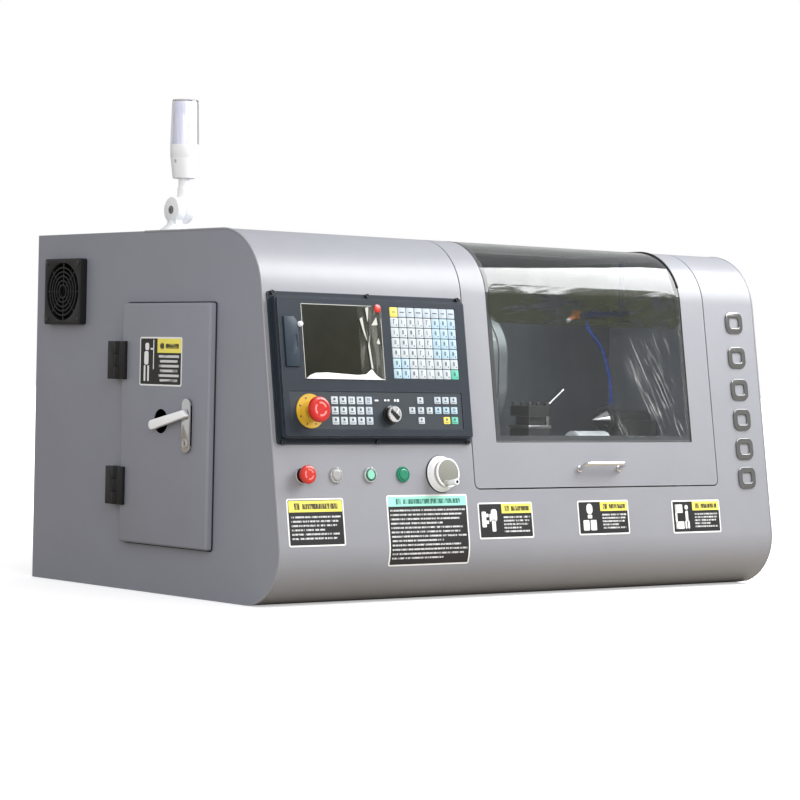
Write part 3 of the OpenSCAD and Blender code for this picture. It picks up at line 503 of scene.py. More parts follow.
class Effects:
    """Node groups that several finishes share, each built once."""

    made: dict[str, bpy.types.ShaderNodeTree] = {}

    @classmethod
    def group(cls, name: str, inputs: dict[str, float],
              outputs: dict[str, str]) -> tuple[Wiring, bpy.types.Node, bpy.types.Node]:
        """Starts a node group.

        Args:
            name: The group's name.
            inputs: Its float inputs with their usual values.
            outputs: Its outputs, each with its kind of socket.

        Returns:
            The group's wiring, its input node and its output node.
        """
        tree = bpy.data.node_groups.new(name, "ShaderNodeTree")
        cls.made[name] = tree
        for label, value in inputs.items():
            socket = tree.interface.new_socket(label, in_out="INPUT", socket_type="NodeSocketFloat")
            socket.default_value = value
        for label, kind in outputs.items():
            tree.interface.new_socket(label, in_out="OUTPUT", socket_type="NodeSocket" + kind)
        wiring = Wiring(tree)
        return wiring, wiring.add("NodeGroupInput"), wiring.add("NodeGroupOutput")

    @classmethod
    def grain(cls) -> bpy.types.ShaderNodeTree:
        """Powder-coat orange peel with slow clouding of its tone.

        Returns:
            The node group.
        """
        if "grain" in cls.made:
            return cls.made["grain"]
        w, start, end = cls.group("grain", {"Scale": 900.0, "Depth": 0.1},
                                  {"Tone": "Float", "Smudge": "Float", "Normal": "Vector"})
        where = w.add("TexCoord").outputs["Object"]
        fine = w.add("TexNoise", {"Vector": where, "Scale": start.outputs["Scale"], "Detail": 2.0})
        slow = w.add("TexNoise", {"Vector": where, "Scale": 9.0, "Detail": 4.0, "Roughness": 0.6})
        marks = w.add("TexNoise", {"Vector": where, "Scale": 34.0, "Detail": 5.0,
                                   "Roughness": 0.7})
        bump = w.add("Bump", {"Strength": start.outputs["Depth"], "Distance": 0.001,
                              "Height": fine.outputs[0]})
        w.tree.links.new(w.ramp(slow.outputs[0], 0.3, 0.7), end.inputs["Tone"])
        w.tree.links.new(w.ramp(marks.outputs[0], 0.45, 0.75), end.inputs["Smudge"])
        w.tree.links.new(bump.outputs[0], end.inputs["Normal"])
        return w.tree

    @classmethod
    def edge_wear_and_highlight(cls) -> bpy.types.ShaderNodeTree:
        """Mask of edges, broken up so that it isn't an even line: a painted highlight on the
        painted sheets, rubbed wear on the metal parts.

        Returns:
            The node group.
        """
        if "edge_wear_and_highlight" in cls.made:
            return cls.made["edge_wear_and_highlight"]
        w, start, end = cls.group("edge_wear_and_highlight", {"Width": 0.002, "Amount": 0.5}, {"Mask": "Float"})
        rounded = w.add("Bevel", {"Radius": start.outputs["Width"]}, samples=4)
        plain = w.add("NewGeometry").outputs["Normal"]
        facing = w.add("VectorMath", {0: rounded.outputs[0], 1: plain}, operation="DOT_PRODUCT")
        edge = w.ramp(facing.outputs["Value"], 0.99, 0.85)
        where = w.add("TexCoord").outputs["Object"]
        noise = w.add("TexNoise", {"Vector": where, "Scale": 60.0, "Detail": 4.0})
        broken = w.ramp(noise.outputs[0], 0.35, 0.6, 0.35, 1.0)
        mask = w.maths("MULTIPLY", w.maths("MULTIPLY", edge, broken), start.outputs["Amount"])
        w.tree.links.new(mask, end.inputs["Mask"])
        return w.tree

    @classmethod
    def brushed(cls) -> bpy.types.ShaderNodeTree:
        """Fine scratches left by turning or grinding, along one axis.

        Returns:
            The node group.
        """
        if "brushed" in cls.made:
            return cls.made["brushed"]
        w, start, end = cls.group("brushed", {"X": 40.0, "Y": 900.0, "Z": 900.0, "Depth": 0.1},
                                  {"Tone": "Float", "Normal": "Vector"})
        where = w.add("TexCoord").outputs["Object"]
        size = w.add("CombineXYZ", {0: start.outputs["X"], 1: start.outputs["Y"],
                                    2: start.outputs["Z"]})
        drawn = w.add("VectorMath", {0: where, 1: size.outputs[0]}, operation="MULTIPLY")
        lines = w.add("TexNoise", {"Vector": drawn.outputs[0], "Scale": 1.0, "Detail": 3.0})
        bump = w.add("Bump", {"Strength": start.outputs["Depth"], "Distance": 0.0005,
                              "Height": lines.outputs[0]})
        w.tree.links.new(w.ramp(lines.outputs[0], 0.3, 0.7), end.inputs["Tone"])
        w.tree.links.new(bump.outputs[0], end.inputs["Normal"])
        return w.tree

    @classmethod
    def dust(cls) -> bpy.types.ShaderNodeTree:
        """Mask of fine dust on faces that look up.

        Returns:
            The node group.
        """
        if "dust" in cls.made:
            return cls.made["dust"]
        w, start, end = cls.group("dust", {"Amount": 0.2}, {"Mask": "Float"})
        up = w.add("SeparateXYZ", {0: w.add("NewGeometry").outputs["Normal"]}).outputs[2]
        where = w.add("TexCoord").outputs["Object"]
        noise = w.add("TexNoise", {"Vector": where, "Scale": 22.0, "Detail": 6.0})
        laid = w.maths("MULTIPLY", w.ramp(up, 0.4, 1.0), w.ramp(noise.outputs[0], 0.4, 0.7))
        w.tree.links.new(w.maths("MULTIPLY", laid, start.outputs["Amount"]), end.inputs["Mask"])
        return w.tree


# --------------------------------------------------------------------------- finishes
class Kind(Enum):
    """How a finish is built."""

    SOLID = "solid"
    BRUSHED = "brushed"
    CLEAR = "clear"
    FILM = "film"
    SCUFFED = "streaked"
    PRINTED = "printed"


@dataclass(frozen=True)
class Finish:
    """One finish and the slot of the record that it stands for.

    A streaked finish reads tone as the slant of its streaks, lines as their fineness along each
    axis and edge as their cover. A printed one shows edge_colour between the marks.
    """

    slot: str
    colour: Colour
    roughness: float
    kind: Kind = Kind.SOLID
    metallic: float = 0.0
    coat: float = 0.0
    scale: float = 900.0
    depth: float = 0.1
    tone: float = 0.06
    edge: float = 0.0
    edge_colour: Colour = (0.6, 0.6, 0.6)
    dust: float = 0.0
    lines: Triple = (40.0, 900.0, 900.0)
    alpha: float = 1.0
    gloss: float = 0.5

    def build(self, name: str) -> bpy.types.Material:
        """Makes the material.

        Args:
            name: The material's name.

        Returns:
            The new material.
        """
        material = bpy.data.materials.new(name)
        material.use_nodes = True
        w = Wiring(material.node_tree)
        end = w.add("OutputMaterial")
        shader = w.add("BsdfPrincipled", {"Metallic": self.metallic, "Coat Weight": self.coat,
                                          "Coat Roughness": 0.15, "Roughness": self.roughness,
                                          "Specular IOR Level": self.gloss})
        ways = {Kind.CLEAR: self.clear, Kind.FILM: self.film, Kind.SCUFFED: self.streaked,
                Kind.PRINTED: self.printed}
        surface = ways.get(self.kind, self.solid)(w, shader, (*self.colour, 1.0))
        w.tree.links.new(surface, end.inputs["Surface"])
        return material

    def solid(self, w: Wiring, shader: bpy.types.Node, base: tuple) -> bpy.types.NodeSocket:
        """Grained or brushed surface, with lighter edges and dust where the finish has them; the
        edges are a painted highlight on the painted sheets and rubbed wear on the metal parts.

        Args:
            w: Wiring of the material.
            shader: Its Principled node.
            base: Its colour, with alpha.

        Returns:
            The socket that the surface comes from.
        """
        light = tuple(min(1.0, c * (1 + self.tone)) for c in base[:3]) + (1.0,)
        dark = tuple(c * (1 - self.tone) for c in base[:3]) + (1.0,)
        brushed = self.kind is Kind.BRUSHED
        effect = w.add("Group", node_tree=Effects.brushed() if brushed else Effects.grain())
        if brushed:
            for key, value in zip("XYZ", self.lines):
                effect.inputs[key].default_value = value
        else:
            effect.inputs["Scale"].default_value = self.scale
        effect.inputs["Depth"].default_value = self.depth
        colour = w.blend(effect.outputs["Tone"], dark, light)
        # Edge colour: painted highlight along the edges of the painted sheets, rubbed wear on the
        # metal parts.
        if self.edge > 0:
            wear_and_highlight = w.add("Group", {"Amount": self.edge}, node_tree=Effects.edge_wear_and_highlight())
            colour = w.blend(wear_and_highlight.outputs[0], colour, (*self.edge_colour, 1.0))
        if self.dust > 0:
            laid = w.add("Group", {"Amount": self.dust}, node_tree=Effects.dust())
            colour = w.blend(laid.outputs[0], colour, (0.42, 0.41, 0.39, 1.0))
        w.tree.links.new(colour, shader.inputs["Base Color"])
        w.tree.links.new(effect.outputs["Normal"], shader.inputs["Normal"])
        mask = effect.outputs["Tone" if brushed else "Smudge"]
        spread = 0.12 if brushed else 0.06
        rough = w.ramp(mask, 0.0, 1.0, self.roughness, self.roughness + spread)
        w.tree.links.new(rough, shader.inputs["Roughness"])
        return shader.outputs[0]

    def clear(self, w: Wiring, shader: bpy.types.Node, base: tuple) -> bpy.types.NodeSocket:
        """Clear sheet: glass to the eye, and a tinted pane to the light that falls through it.

        Args:
            w: Wiring of the material.
            shader: Its Principled node.
            base: Its colour, with alpha.

        Returns:
            The socket that the surface comes from.
        """
        shader.inputs["Transmission Weight"].default_value = 1.0
        shader.inputs["IOR"].default_value = 1.45
        where = w.add("TexCoord").outputs["Object"]
        streak = w.add("VectorMath", {0: where, 1: (30.0, 5.0, 3.0)}, operation="MULTIPLY")
        noise = w.add("TexNoise", {"Vector": streak.outputs[0], "Scale": 1.0, "Detail": 5.0})
        colour = w.blend(w.ramp(noise.outputs[0], 0.4, 0.75), base,
                         tuple(c * 0.93 for c in self.colour) + (1.0,))
        w.tree.links.new(colour, shader.inputs["Base Color"])
        rough = w.ramp(noise.outputs[0], 0.5, 0.8, self.roughness, self.roughness + 0.05)
        w.tree.links.new(rough, shader.inputs["Roughness"])
        pane = w.add("BsdfTransparent", {"Color": base})
        ray = w.add("LightPath")
        mix = w.add("MixShader", {0: ray.outputs["Is Shadow Ray"], 1: shader.outputs[0],
                                  2: pane.outputs[0]})
        return mix.outputs[0]

    def film(self, w: Wiring, shader: bpy.types.Node, base: tuple) -> bpy.types.NodeSocket:
        """Loose protective film: mostly clear, milky where it is creased.

        Args:
            w: Wiring of the material.
            shader: Its Principled node.
            base: Its colour, with alpha.

        Returns:
            The socket that the surface comes from.
        """
        where = w.add("TexCoord").outputs["Object"]
        crease = w.add("VectorMath", {0: where, 1: (60.0, 8.0, 14.0)}, operation="MULTIPLY")
        noise = w.add("TexNoise", {"Vector": crease.outputs[0], "Scale": 1.0, "Detail": 4.0,
                                   "Distortion": 1.5})
        milk = w.ramp(noise.outputs[0], 0.5, 0.75, self.alpha, min(1.0, self.alpha + 0.2))
        shader.inputs["Base Color"].default_value = base
        shader.inputs["Specular IOR Level"].default_value = 0.25
        w.tree.links.new(milk, shader.inputs["Alpha"])
        return shader.outputs[0]

    def streaked(self, w: Wiring, shader: bpy.types.Node, base: tuple) -> bpy.types.NodeSocket:
        """Slanting streaks on a clear sheet, nothing between them: real scuffs on the window, and
        the painted dark reflection across its upper part.

        Args:
            w: Wiring of the material.
            shader: Its Principled node.
            base: Its colour, with alpha.

        Returns:
            The socket that the surface comes from.
        """
        where = w.add("TexCoord").outputs["Object"]
        turn = w.add("Mapping", {"Vector": where, "Rotation": (0.0, self.tone, 0.0)})
        drawn = w.add("VectorMath", {0: turn.outputs[0], 1: self.lines}, operation="MULTIPLY")
        fine = w.add("TexNoise", {"Vector": drawn.outputs[0], "Scale": 1.0, "Detail": 6.0,
                                  "Roughness": 0.65, "Distortion": 0.5})
        broad = w.add("TexNoise", {"Vector": where, "Scale": 11.0, "Detail": 3.0})
        streak = w.ramp(fine.outputs[0], 0.54 - self.edge, 0.68 - self.edge)
        patch = w.ramp(broad.outputs[0], 0.47 - self.edge, 0.62 - self.edge)
        shader.inputs["Base Color"].default_value = base
        cover = w.maths("MULTIPLY", w.maths("MULTIPLY", streak, patch), self.alpha)
        w.tree.links.new(cover, shader.inputs["Alpha"])
        return shader.outputs[0]

    def printed(self, w: Wiring, shader: bpy.types.Node, base: tuple) -> bpy.types.NodeSocket:
        """Rows of print seen from too far away to read: broken light and dark along X.

        Args:
            w: Wiring of the material.
            shader: Its Principled node.
            base: Its colour, with alpha.

        Returns:
            The socket that the surface comes from.
        """
        where = w.add("TexCoord").outputs["Object"]
        long = w.add("VectorMath", {0: where, 1: (620.0, 20.0, 90.0)}, operation="MULTIPLY")
        noise = w.add("TexNoise", {"Vector": long.outputs[0], "Scale": 1.0, "Detail": 1.0})
        ground = tuple(self.edge_colour) + (1.0,)
        colour = w.blend(w.ramp(noise.outputs[0], 0.36, 0.52), ground, base)
        w.tree.links.new(colour, shader.inputs["Base Color"])
        return shader.outputs[0]


GREY_PAINT = (0.256, 0.263, 0.293)
STEEL = (0.60, 0.60, 0.60)


class Palette:
    """Every finish on the machine, built when it is first used."""

    finishes: dict[str, Finish] = {
        # The cabinet paint's edge and edge_colour are a painted highlight along its folds and
        # rounded edges.
        "paint": Finish("cabinet_paint", GREY_PAINT, 0.38, scale=1500, depth=0.06, tone=0.025,
                        coat=0.08, edge=0.35, edge_colour=(0.42, 0.42, 0.44), dust=0.06),
        # A darker copy of the cabinet paint: painted shade on the end plates, rear cover, tray and
        # side door, which face away from the key light. Its lighter edges are a painted highlight
        # too.
        "side_paint": Finish("side_paint", (0.238, 0.248, 0.296), 0.4, scale=1500, depth=0.06,
                             tone=0.03, coat=0.08, edge=0.4, edge_colour=(0.42, 0.42, 0.44),
                             dust=0.08),
        "liner": Finish("liner_metal", (0.125, 0.137, 0.158), 0.5, tone=0.15, dust=0.2),
        "panel": Finish("panel_plastic", (0.021, 0.0275, 0.039), 0.45, scale=2500, depth=0.12,
                        tone=0.06, edge=0.3, edge_colour=(0.16, 0.19, 0.23), dust=0.04,
                        gloss=0.2),
        "panel_dark": Finish("black_plastic", (0.028, 0.042, 0.06), 0.42, scale=2500, tone=0.06,
                             gloss=0.25),
        "pad": Finish("panel_plastic", (0.020, 0.029, 0.039), 0.5, scale=3000, depth=0.1,
                      tone=0.05, gloss=0.4),
        "screen": Finish("screen", (0.014, 0.0145, 0.009), 0.16, depth=0.02, tone=0.2, gloss=0.22),
        "film": Finish("screen", (0.40, 0.41, 0.38), 0.15, kind=Kind.FILM, alpha=0.03),
        "film_crease": Finish("screen", (0.50, 0.52, 0.48), 0.15, depth=0.02, coat=0.5),
        "film_curl": Finish("white_plastic", (0.86, 0.87, 0.9), 0.22, coat=0.5, depth=0.05),
        "key_white": Finish("keys", (0.45, 0.50, 0.54), 0.5, scale=3000, tone=0.05),
        "key_grey": Finish("keys", (0.40, 0.46, 0.52), 0.5, scale=3000, tone=0.05),
        "key_blue": Finish("keys", (0.34, 0.48, 0.58), 0.5, scale=3000, tone=0.05),
        "key_yellow": Finish("keys", (0.78, 0.60, 0.10), 0.5, scale=3000, tone=0.05),
        "key_green": Finish("keys", (0.09, 0.46, 0.34), 0.5, scale=3000, tone=0.05),
        "print_dark": Finish("keys", (0.05, 0.06, 0.08), 0.6, tone=0.1),
        "gloss_black": Finish("black_plastic", (0.01, 0.01, 0.011), 0.18, coat=0.4, depth=0.02),
        "red": Finish("red_plastic", (0.50, 0.012, 0.008), 0.22, coat=0.35, depth=0.03),
        "orange_red": Finish("red_plastic", (0.52, 0.022, 0.012), 0.25, coat=0.35, depth=0.03),
        "pale_red": Finish("red_plastic", (0.72, 0.24, 0.22), 0.35, depth=0.03),
        "yellow": Finish("yellow_plastic", (0.58, 0.36, 0.025), 0.4, depth=0.05),
        "green": Finish("green_plastic", (0.012, 0.21, 0.12), 0.22, coat=0.4, depth=0.03),
        "dark_green": Finish("green_plastic", (0.008, 0.10, 0.06), 0.3, coat=0.3, depth=0.03),
        "mint": Finish("mint_plastic", (0.24, 0.58, 0.45), 0.25, coat=0.4, depth=0.03),
        "grey_plastic": Finish("grey_plastic", (0.18, 0.18, 0.17), 0.45, depth=0.08, tone=0.08),
        "dial_grey": Finish("grey_plastic", (0.20, 0.205, 0.18), 0.4, depth=0.05, tone=0.04),
        "beige": Finish("grey_plastic", (0.42, 0.41, 0.38), 0.42, depth=0.08, tone=0.08),
        "white": Finish("white_plastic", (0.87, 0.885, 0.92), 0.32, coat=0.15, depth=0.04,
                        tone=0.02),
        # A darker copy of the white plastic: painted shade that tones down the lamp, on which the
        # fill and key lights fall strongly.
        "shaded_lamp_white": Finish("white_plastic", (0.78, 0.795, 0.825), 0.32, coat=0.15, depth=0.04,
                             tone=0.02),
        "lens": Finish("lens", (0.96, 0.96, 0.985), 0.04, kind=Kind.CLEAR),
        "diffuser": Finish("lens", (0.56, 0.57, 0.65), 0.5, depth=0.2, scale=400, tone=0.05),
        "window": Finish("window_sheet", (0.80, 0.83, 0.82), 0.015, kind=Kind.CLEAR),
        "seal": Finish("belt_rubber", (0.010, 0.010, 0.011), 0.6, depth=0.1),
        "chrome": Finish("chrome", (0.72, 0.72, 0.73), 0.08, metallic=1.0, depth=0.02,
                         tone=0.04),
        "bright": Finish("chrome", (0.66, 0.66, 0.67), 0.26, metallic=0.85, depth=0.02, tone=0.03),
        "silver": Finish("grey_plastic", (0.36, 0.36, 0.365), 0.35, metallic=0.4, depth=0.04),
        # A darker copy of the chrome: a painted dark reflection in the front trims.
        "trim": Finish("chrome", (0.30, 0.30, 0.295), 0.12, metallic=1.0, depth=0.02, tone=0.06),
        "steel": Finish("steel", STEEL, 0.26, kind=Kind.BRUSHED, metallic=1.0,
                        lines=(900.0, 60.0, 60.0), depth=0.12, tone=0.1),
        "ground": Finish("steel", (0.50, 0.50, 0.51), 0.3, kind=Kind.BRUSHED, metallic=1.0,
                         lines=(30.0, 900.0, 900.0), depth=0.1, tone=0.12),
        "dark_steel": Finish("iron", (0.10, 0.10, 0.105), 0.38, metallic=0.8, depth=0.1,
                             tone=0.2, edge=0.6, edge_colour=(0.45, 0.45, 0.45)),
        "iron": Finish("iron", (0.12, 0.125, 0.13), 0.5, scale=500, depth=0.3, tone=0.15,
                       edge=0.4, edge_colour=(0.3, 0.3, 0.3), dust=0.15),
        "aluminium": Finish("aluminium", (0.66, 0.67, 0.69), 0.34, kind=Kind.BRUSHED,
                            metallic=0.9, lines=(30.0, 700.0, 700.0), depth=0.08, tone=0.06),
        "guard": Finish("aluminium", (0.22, 0.23, 0.25), 0.42, metallic=0.3, depth=0.1),
        "motor": Finish("motor_paint", (0.03, 0.032, 0.035), 0.4, depth=0.15, tone=0.1,
                        edge=0.3),
        "motor_shell": Finish("aluminium", (0.78, 0.78, 0.83), 0.4, metallic=0.1, depth=0.05,
                              tone=0.04),
        "belt": Finish("belt_rubber", (0.012, 0.012, 0.012), 0.65, depth=0.3),
        "hose": Finish("blue_hose", (0.012, 0.025, 0.12), 0.35, depth=0.05, tone=0.1),
        "tube": Finish("blue_hose", (0.03, 0.12, 0.72), 0.25, coat=0.3, depth=0.02),
        "nozzle": Finish("yellow_plastic", (0.62, 0.17, 0.03), 0.35, depth=0.05),
        "placard_black": Finish("black_plastic", (0.012, 0.012, 0.014), 0.35, depth=0.03,
                                tone=0.05),
        "placard_white": Finish("white_plastic", (0.80, 0.81, 0.82), 0.35, depth=0.03,
                                tone=0.02),
        "placard_yellow": Finish("yellow_plastic", (0.86, 0.76, 0.13), 0.38, depth=0.03),
        "placard_mint": Finish("mint_plastic", (0.32, 0.72, 0.60), 0.38, depth=0.03),
        "print_light": Finish("white_plastic", (0.62, 0.63, 0.64), 0.4, kind=Kind.PRINTED,
                              edge_colour=(0.03, 0.03, 0.035)),
        "print_on_yellow": Finish("black_plastic", (0.05, 0.045, 0.02), 0.4, kind=Kind.PRINTED,
                                  edge_colour=(0.55, 0.48, 0.09)),
        "print_on_mint": Finish("black_plastic", (0.02, 0.14, 0.11), 0.4, kind=Kind.PRINTED,
                                edge_colour=(0.24, 0.6, 0.5)),
        "scuffs": Finish("window_sheet", (0.72, 0.73, 0.72), 0.4, kind=Kind.SCUFFED, alpha=0.3,
                         tone=0.455, lines=(260.0, 60.0, 15.0)),
        # Dark olive streaks across the upper window: a painted dark reflection of the surroundings
        # on the clear sheet.
        "painted_dark_reflection": Finish("window_sheet", (0.028, 0.032, 0.014), 0.6, kind=Kind.SCUFFED, alpha=0.5,
                        gloss=0.2, tone=0.1, edge=0.16, lines=(7.0, 30.0, 60.0)),
        "tape": Finish("belt_rubber", (0.05, 0.053, 0.058), 0.5, depth=0.05),
        "matt_black": Finish("black_plastic", (0.010, 0.0105, 0.012), 0.42, scale=2500, depth=0.1,
                             tone=0.08, gloss=0.35),
    }
    made: dict[str, bpy.types.Material] = {}

    @classmethod
    def get(cls, name: str) -> bpy.types.Material:
        """The material of a finish.

        Args:
            name: The finish.

        Returns:
            Its material, built when it is first asked for.
        """
        if name not in cls.made:
            cls.made[name] = cls.finishes[name].build(name)
        return cls.made[name]


def lay(piece: bpy.types.Object, name: str, finish: str, body: str = "root",
        place: Optional[Matrix] = None, stands_for: Sequence[str] = (),
        smooth: float = 38.0) -> bpy.types.Object:
    """Lays a finished piece in place, dresses it and lets it ride on its body.

    Args:
        piece: The modelled piece.
        name: Its name.
        finish: Its finish in the palette.
        body: The CAD body that it moves with.
        place: Where its drawing goes, or None if it is in place already.
        stands_for: CAD nodes that it is shown instead of.
        smooth: Angle in degrees under which neighbouring faces blend.

    Returns:
        The piece.
    """
    if place is not None:
        piece.data.transform(place)
    piece.name = piece.data.name = name
    pick(piece)
    bpy.ops.object.shade_smooth_by_angle(angle=math.radians(smooth))
    piece.data.materials.clear()
    piece.data.materials.append(Palette.get(finish))
    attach(piece, body)
    if stands_for:
        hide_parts(*stands_for)
    LOG.info("%s: %s on %s, %d faces", name, finish, body, len(piece.data.polygons))
    return piece


def body_of_node(node: str) -> str:
    """The body that a CAD node belongs to."""
    groups = FRAME["record"]["behaviour"]["bodies"]
    return next(body for body, members in groups.items() if node in members)


def dress(finish: str, *nodes: str) -> None:
    """Gives CAD nodes a finish.

    Args:
        finish: The finish in the palette.
        nodes: The nodes, which stay as they are otherwise.
    """
    for node in nodes:
        mesh = FRAME["nodes"][node].data
        mesh.materials.clear()
        mesh.materials.append(Palette.get(finish))
        LOG.info("%s: %s", node, finish)


def smooth_copy(node: str, finish: str, angle: float = 32.0,
                edge: float = 0.0) -> bpy.types.Object:
    """A merged, smoothly shaded copy of a CAD node, shown in its place.

    Args:
        node: The CAD node.
        finish: Its finish in the palette.
        angle: Angle in degrees under which neighbouring faces blend.
        edge: Radius in millimetres that sharp edges get, or 0.

    Returns:
        The copy.
    """
    deselect()
    piece = FRAME["nodes"][node].copy()
    piece.data = piece.data.copy()
    for key in [k for k in piece.keys() if k.startswith("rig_")]:
        del piece[key]
    piece.parent = None
    bpy.context.scene.collection.objects.link(piece)
    pick(piece)
    normals = piece.data.attributes.get("custom_normal")
    if normals:
        piece.data.attributes.remove(normals)
    with editing():
        bpy.ops.mesh.remove_doubles(threshold=2e-6)
        bpy.ops.mesh.tris_convert_to_quads()
    if edge > 0:
        soften(piece, edge * MM, 2, 50)
    return lay(piece, node + "_shown", finish, body_of_node(node), stands_for=(node,),
               smooth=angle)


def cutout(points: Profile, t: float) -> bpy.types.Object:
    """A thin plate cut to an outline, rising from z = 0.

    Args:
        points: The outline, anticlockwise.
        t: Thickness.

    Returns:
        The plate, in millimetres.
    """
    deselect()
    bpy.ops.mesh.primitive_circle_add(vertices=len(points), radius=1, fill_type="NGON")
    piece = bpy.context.object
    for v, (x, y) in zip(piece.data.vertices, points):
        v.co = (x, y, 0)
    with editing("FACE"):
        bpy.ops.mesh.extrude_region_move(TRANSFORM_OT_translate={"value": (0, 0, t)})
    return piece


def bar(x: float, y: float, w: float, h: float, t: float = 0.2) -> bpy.types.Object:
    """A thin printed bar with round ends.

    Args:
        x: Its middle across.
        y: Its middle up.
        w: Width.
        h: Height.
        t: Thickness.

    Returns:
        The bar, in millimetres.
    """
    piece = plate(w, h, min(w, h) * 0.3, t, 2)
    piece.data.transform(Matrix.Translation((x, y, 0)))
    return piece


def moved(piece: bpy.types.Object, x: float = 0, y: float = 0, z: float = 0,
          turn: Optional[Matrix] = None) -> bpy.types.Object:
    """Moves a piece's drawing, after an optional turn."""
    piece.data.transform(Matrix.Translation((x, y, z)) @ (turn or Matrix.Identity(4)))
    return piece


def carve(piece: bpy.types.Object, cutter: bpy.types.Object) -> bpy.types.Object:
    """Cuts one piece out of another.

    Args:
        piece: The piece that is cut.
        cutter: The piece that cuts, which is used up.

    Returns:
        The cut piece.
    """
    cut = piece.modifiers.new("cut", "BOOLEAN")
    cut.object = cutter
    pick(piece)
    bpy.ops.object.modifier_apply(modifier=cut.name)
    bpy.data.objects.remove(cutter)
    return piece


def sunk(piece: bpy.types.Object, top: float, rim: float, depth: float) -> bpy.types.Object:
    """Sinks the top face of a plate inside a rim.

    Args:
        piece: The plate.
        top: Height of its top face.
        rim: Width of the rim that stays.
        depth: How far the middle goes down.

    Returns:
        The same plate.
    """
    pick(piece)
    for face in piece.data.polygons:
        face.select = face.center.z > top - 1e-3 and face.normal.z > 0.9
    bpy.ops.object.mode_set(mode="EDIT")
    bpy.ops.mesh.select_mode(type="FACE")
    bpy.ops.mesh.inset(thickness=rim)
    bpy.ops.mesh.extrude_region_move(TRANSFORM_OT_translate={"value": (0, 0, -depth)})
    bpy.ops.object.mode_set(mode="OBJECT")
    return piece


def fluted(piece: bpy.types.Object, pitch: float, depth: float) -> bpy.types.Object:
    """Draws every second column of points of a turned piece inwards.

    Args:
        piece: The turned piece.
        pitch: Degrees between two columns.
        depth: Share of its radius that a drawn-in column keeps.

    Returns:
        The same piece.
    """
    for v in piece.data.vertices:
        column = round(math.degrees(math.atan2(v.co.y, v.co.x)) / pitch)
        k = depth if column % 2 else 1.0
        v.co.x, v.co.y = v.co.x * k, v.co.y * k
    return piece


def socket_screw(r: float, h: float) -> bpy.types.Object:
    """A socket-head screw's head with its hexagonal hole."""
    head = turned([(r, 0), (r, h - 0.4), (r - 0.4, h), (r * 0.55, h)], 24)
    return carve(head, moved(turned([(r * 0.5, 0), (r * 0.5, 4)], 6), z=h - 1.5))


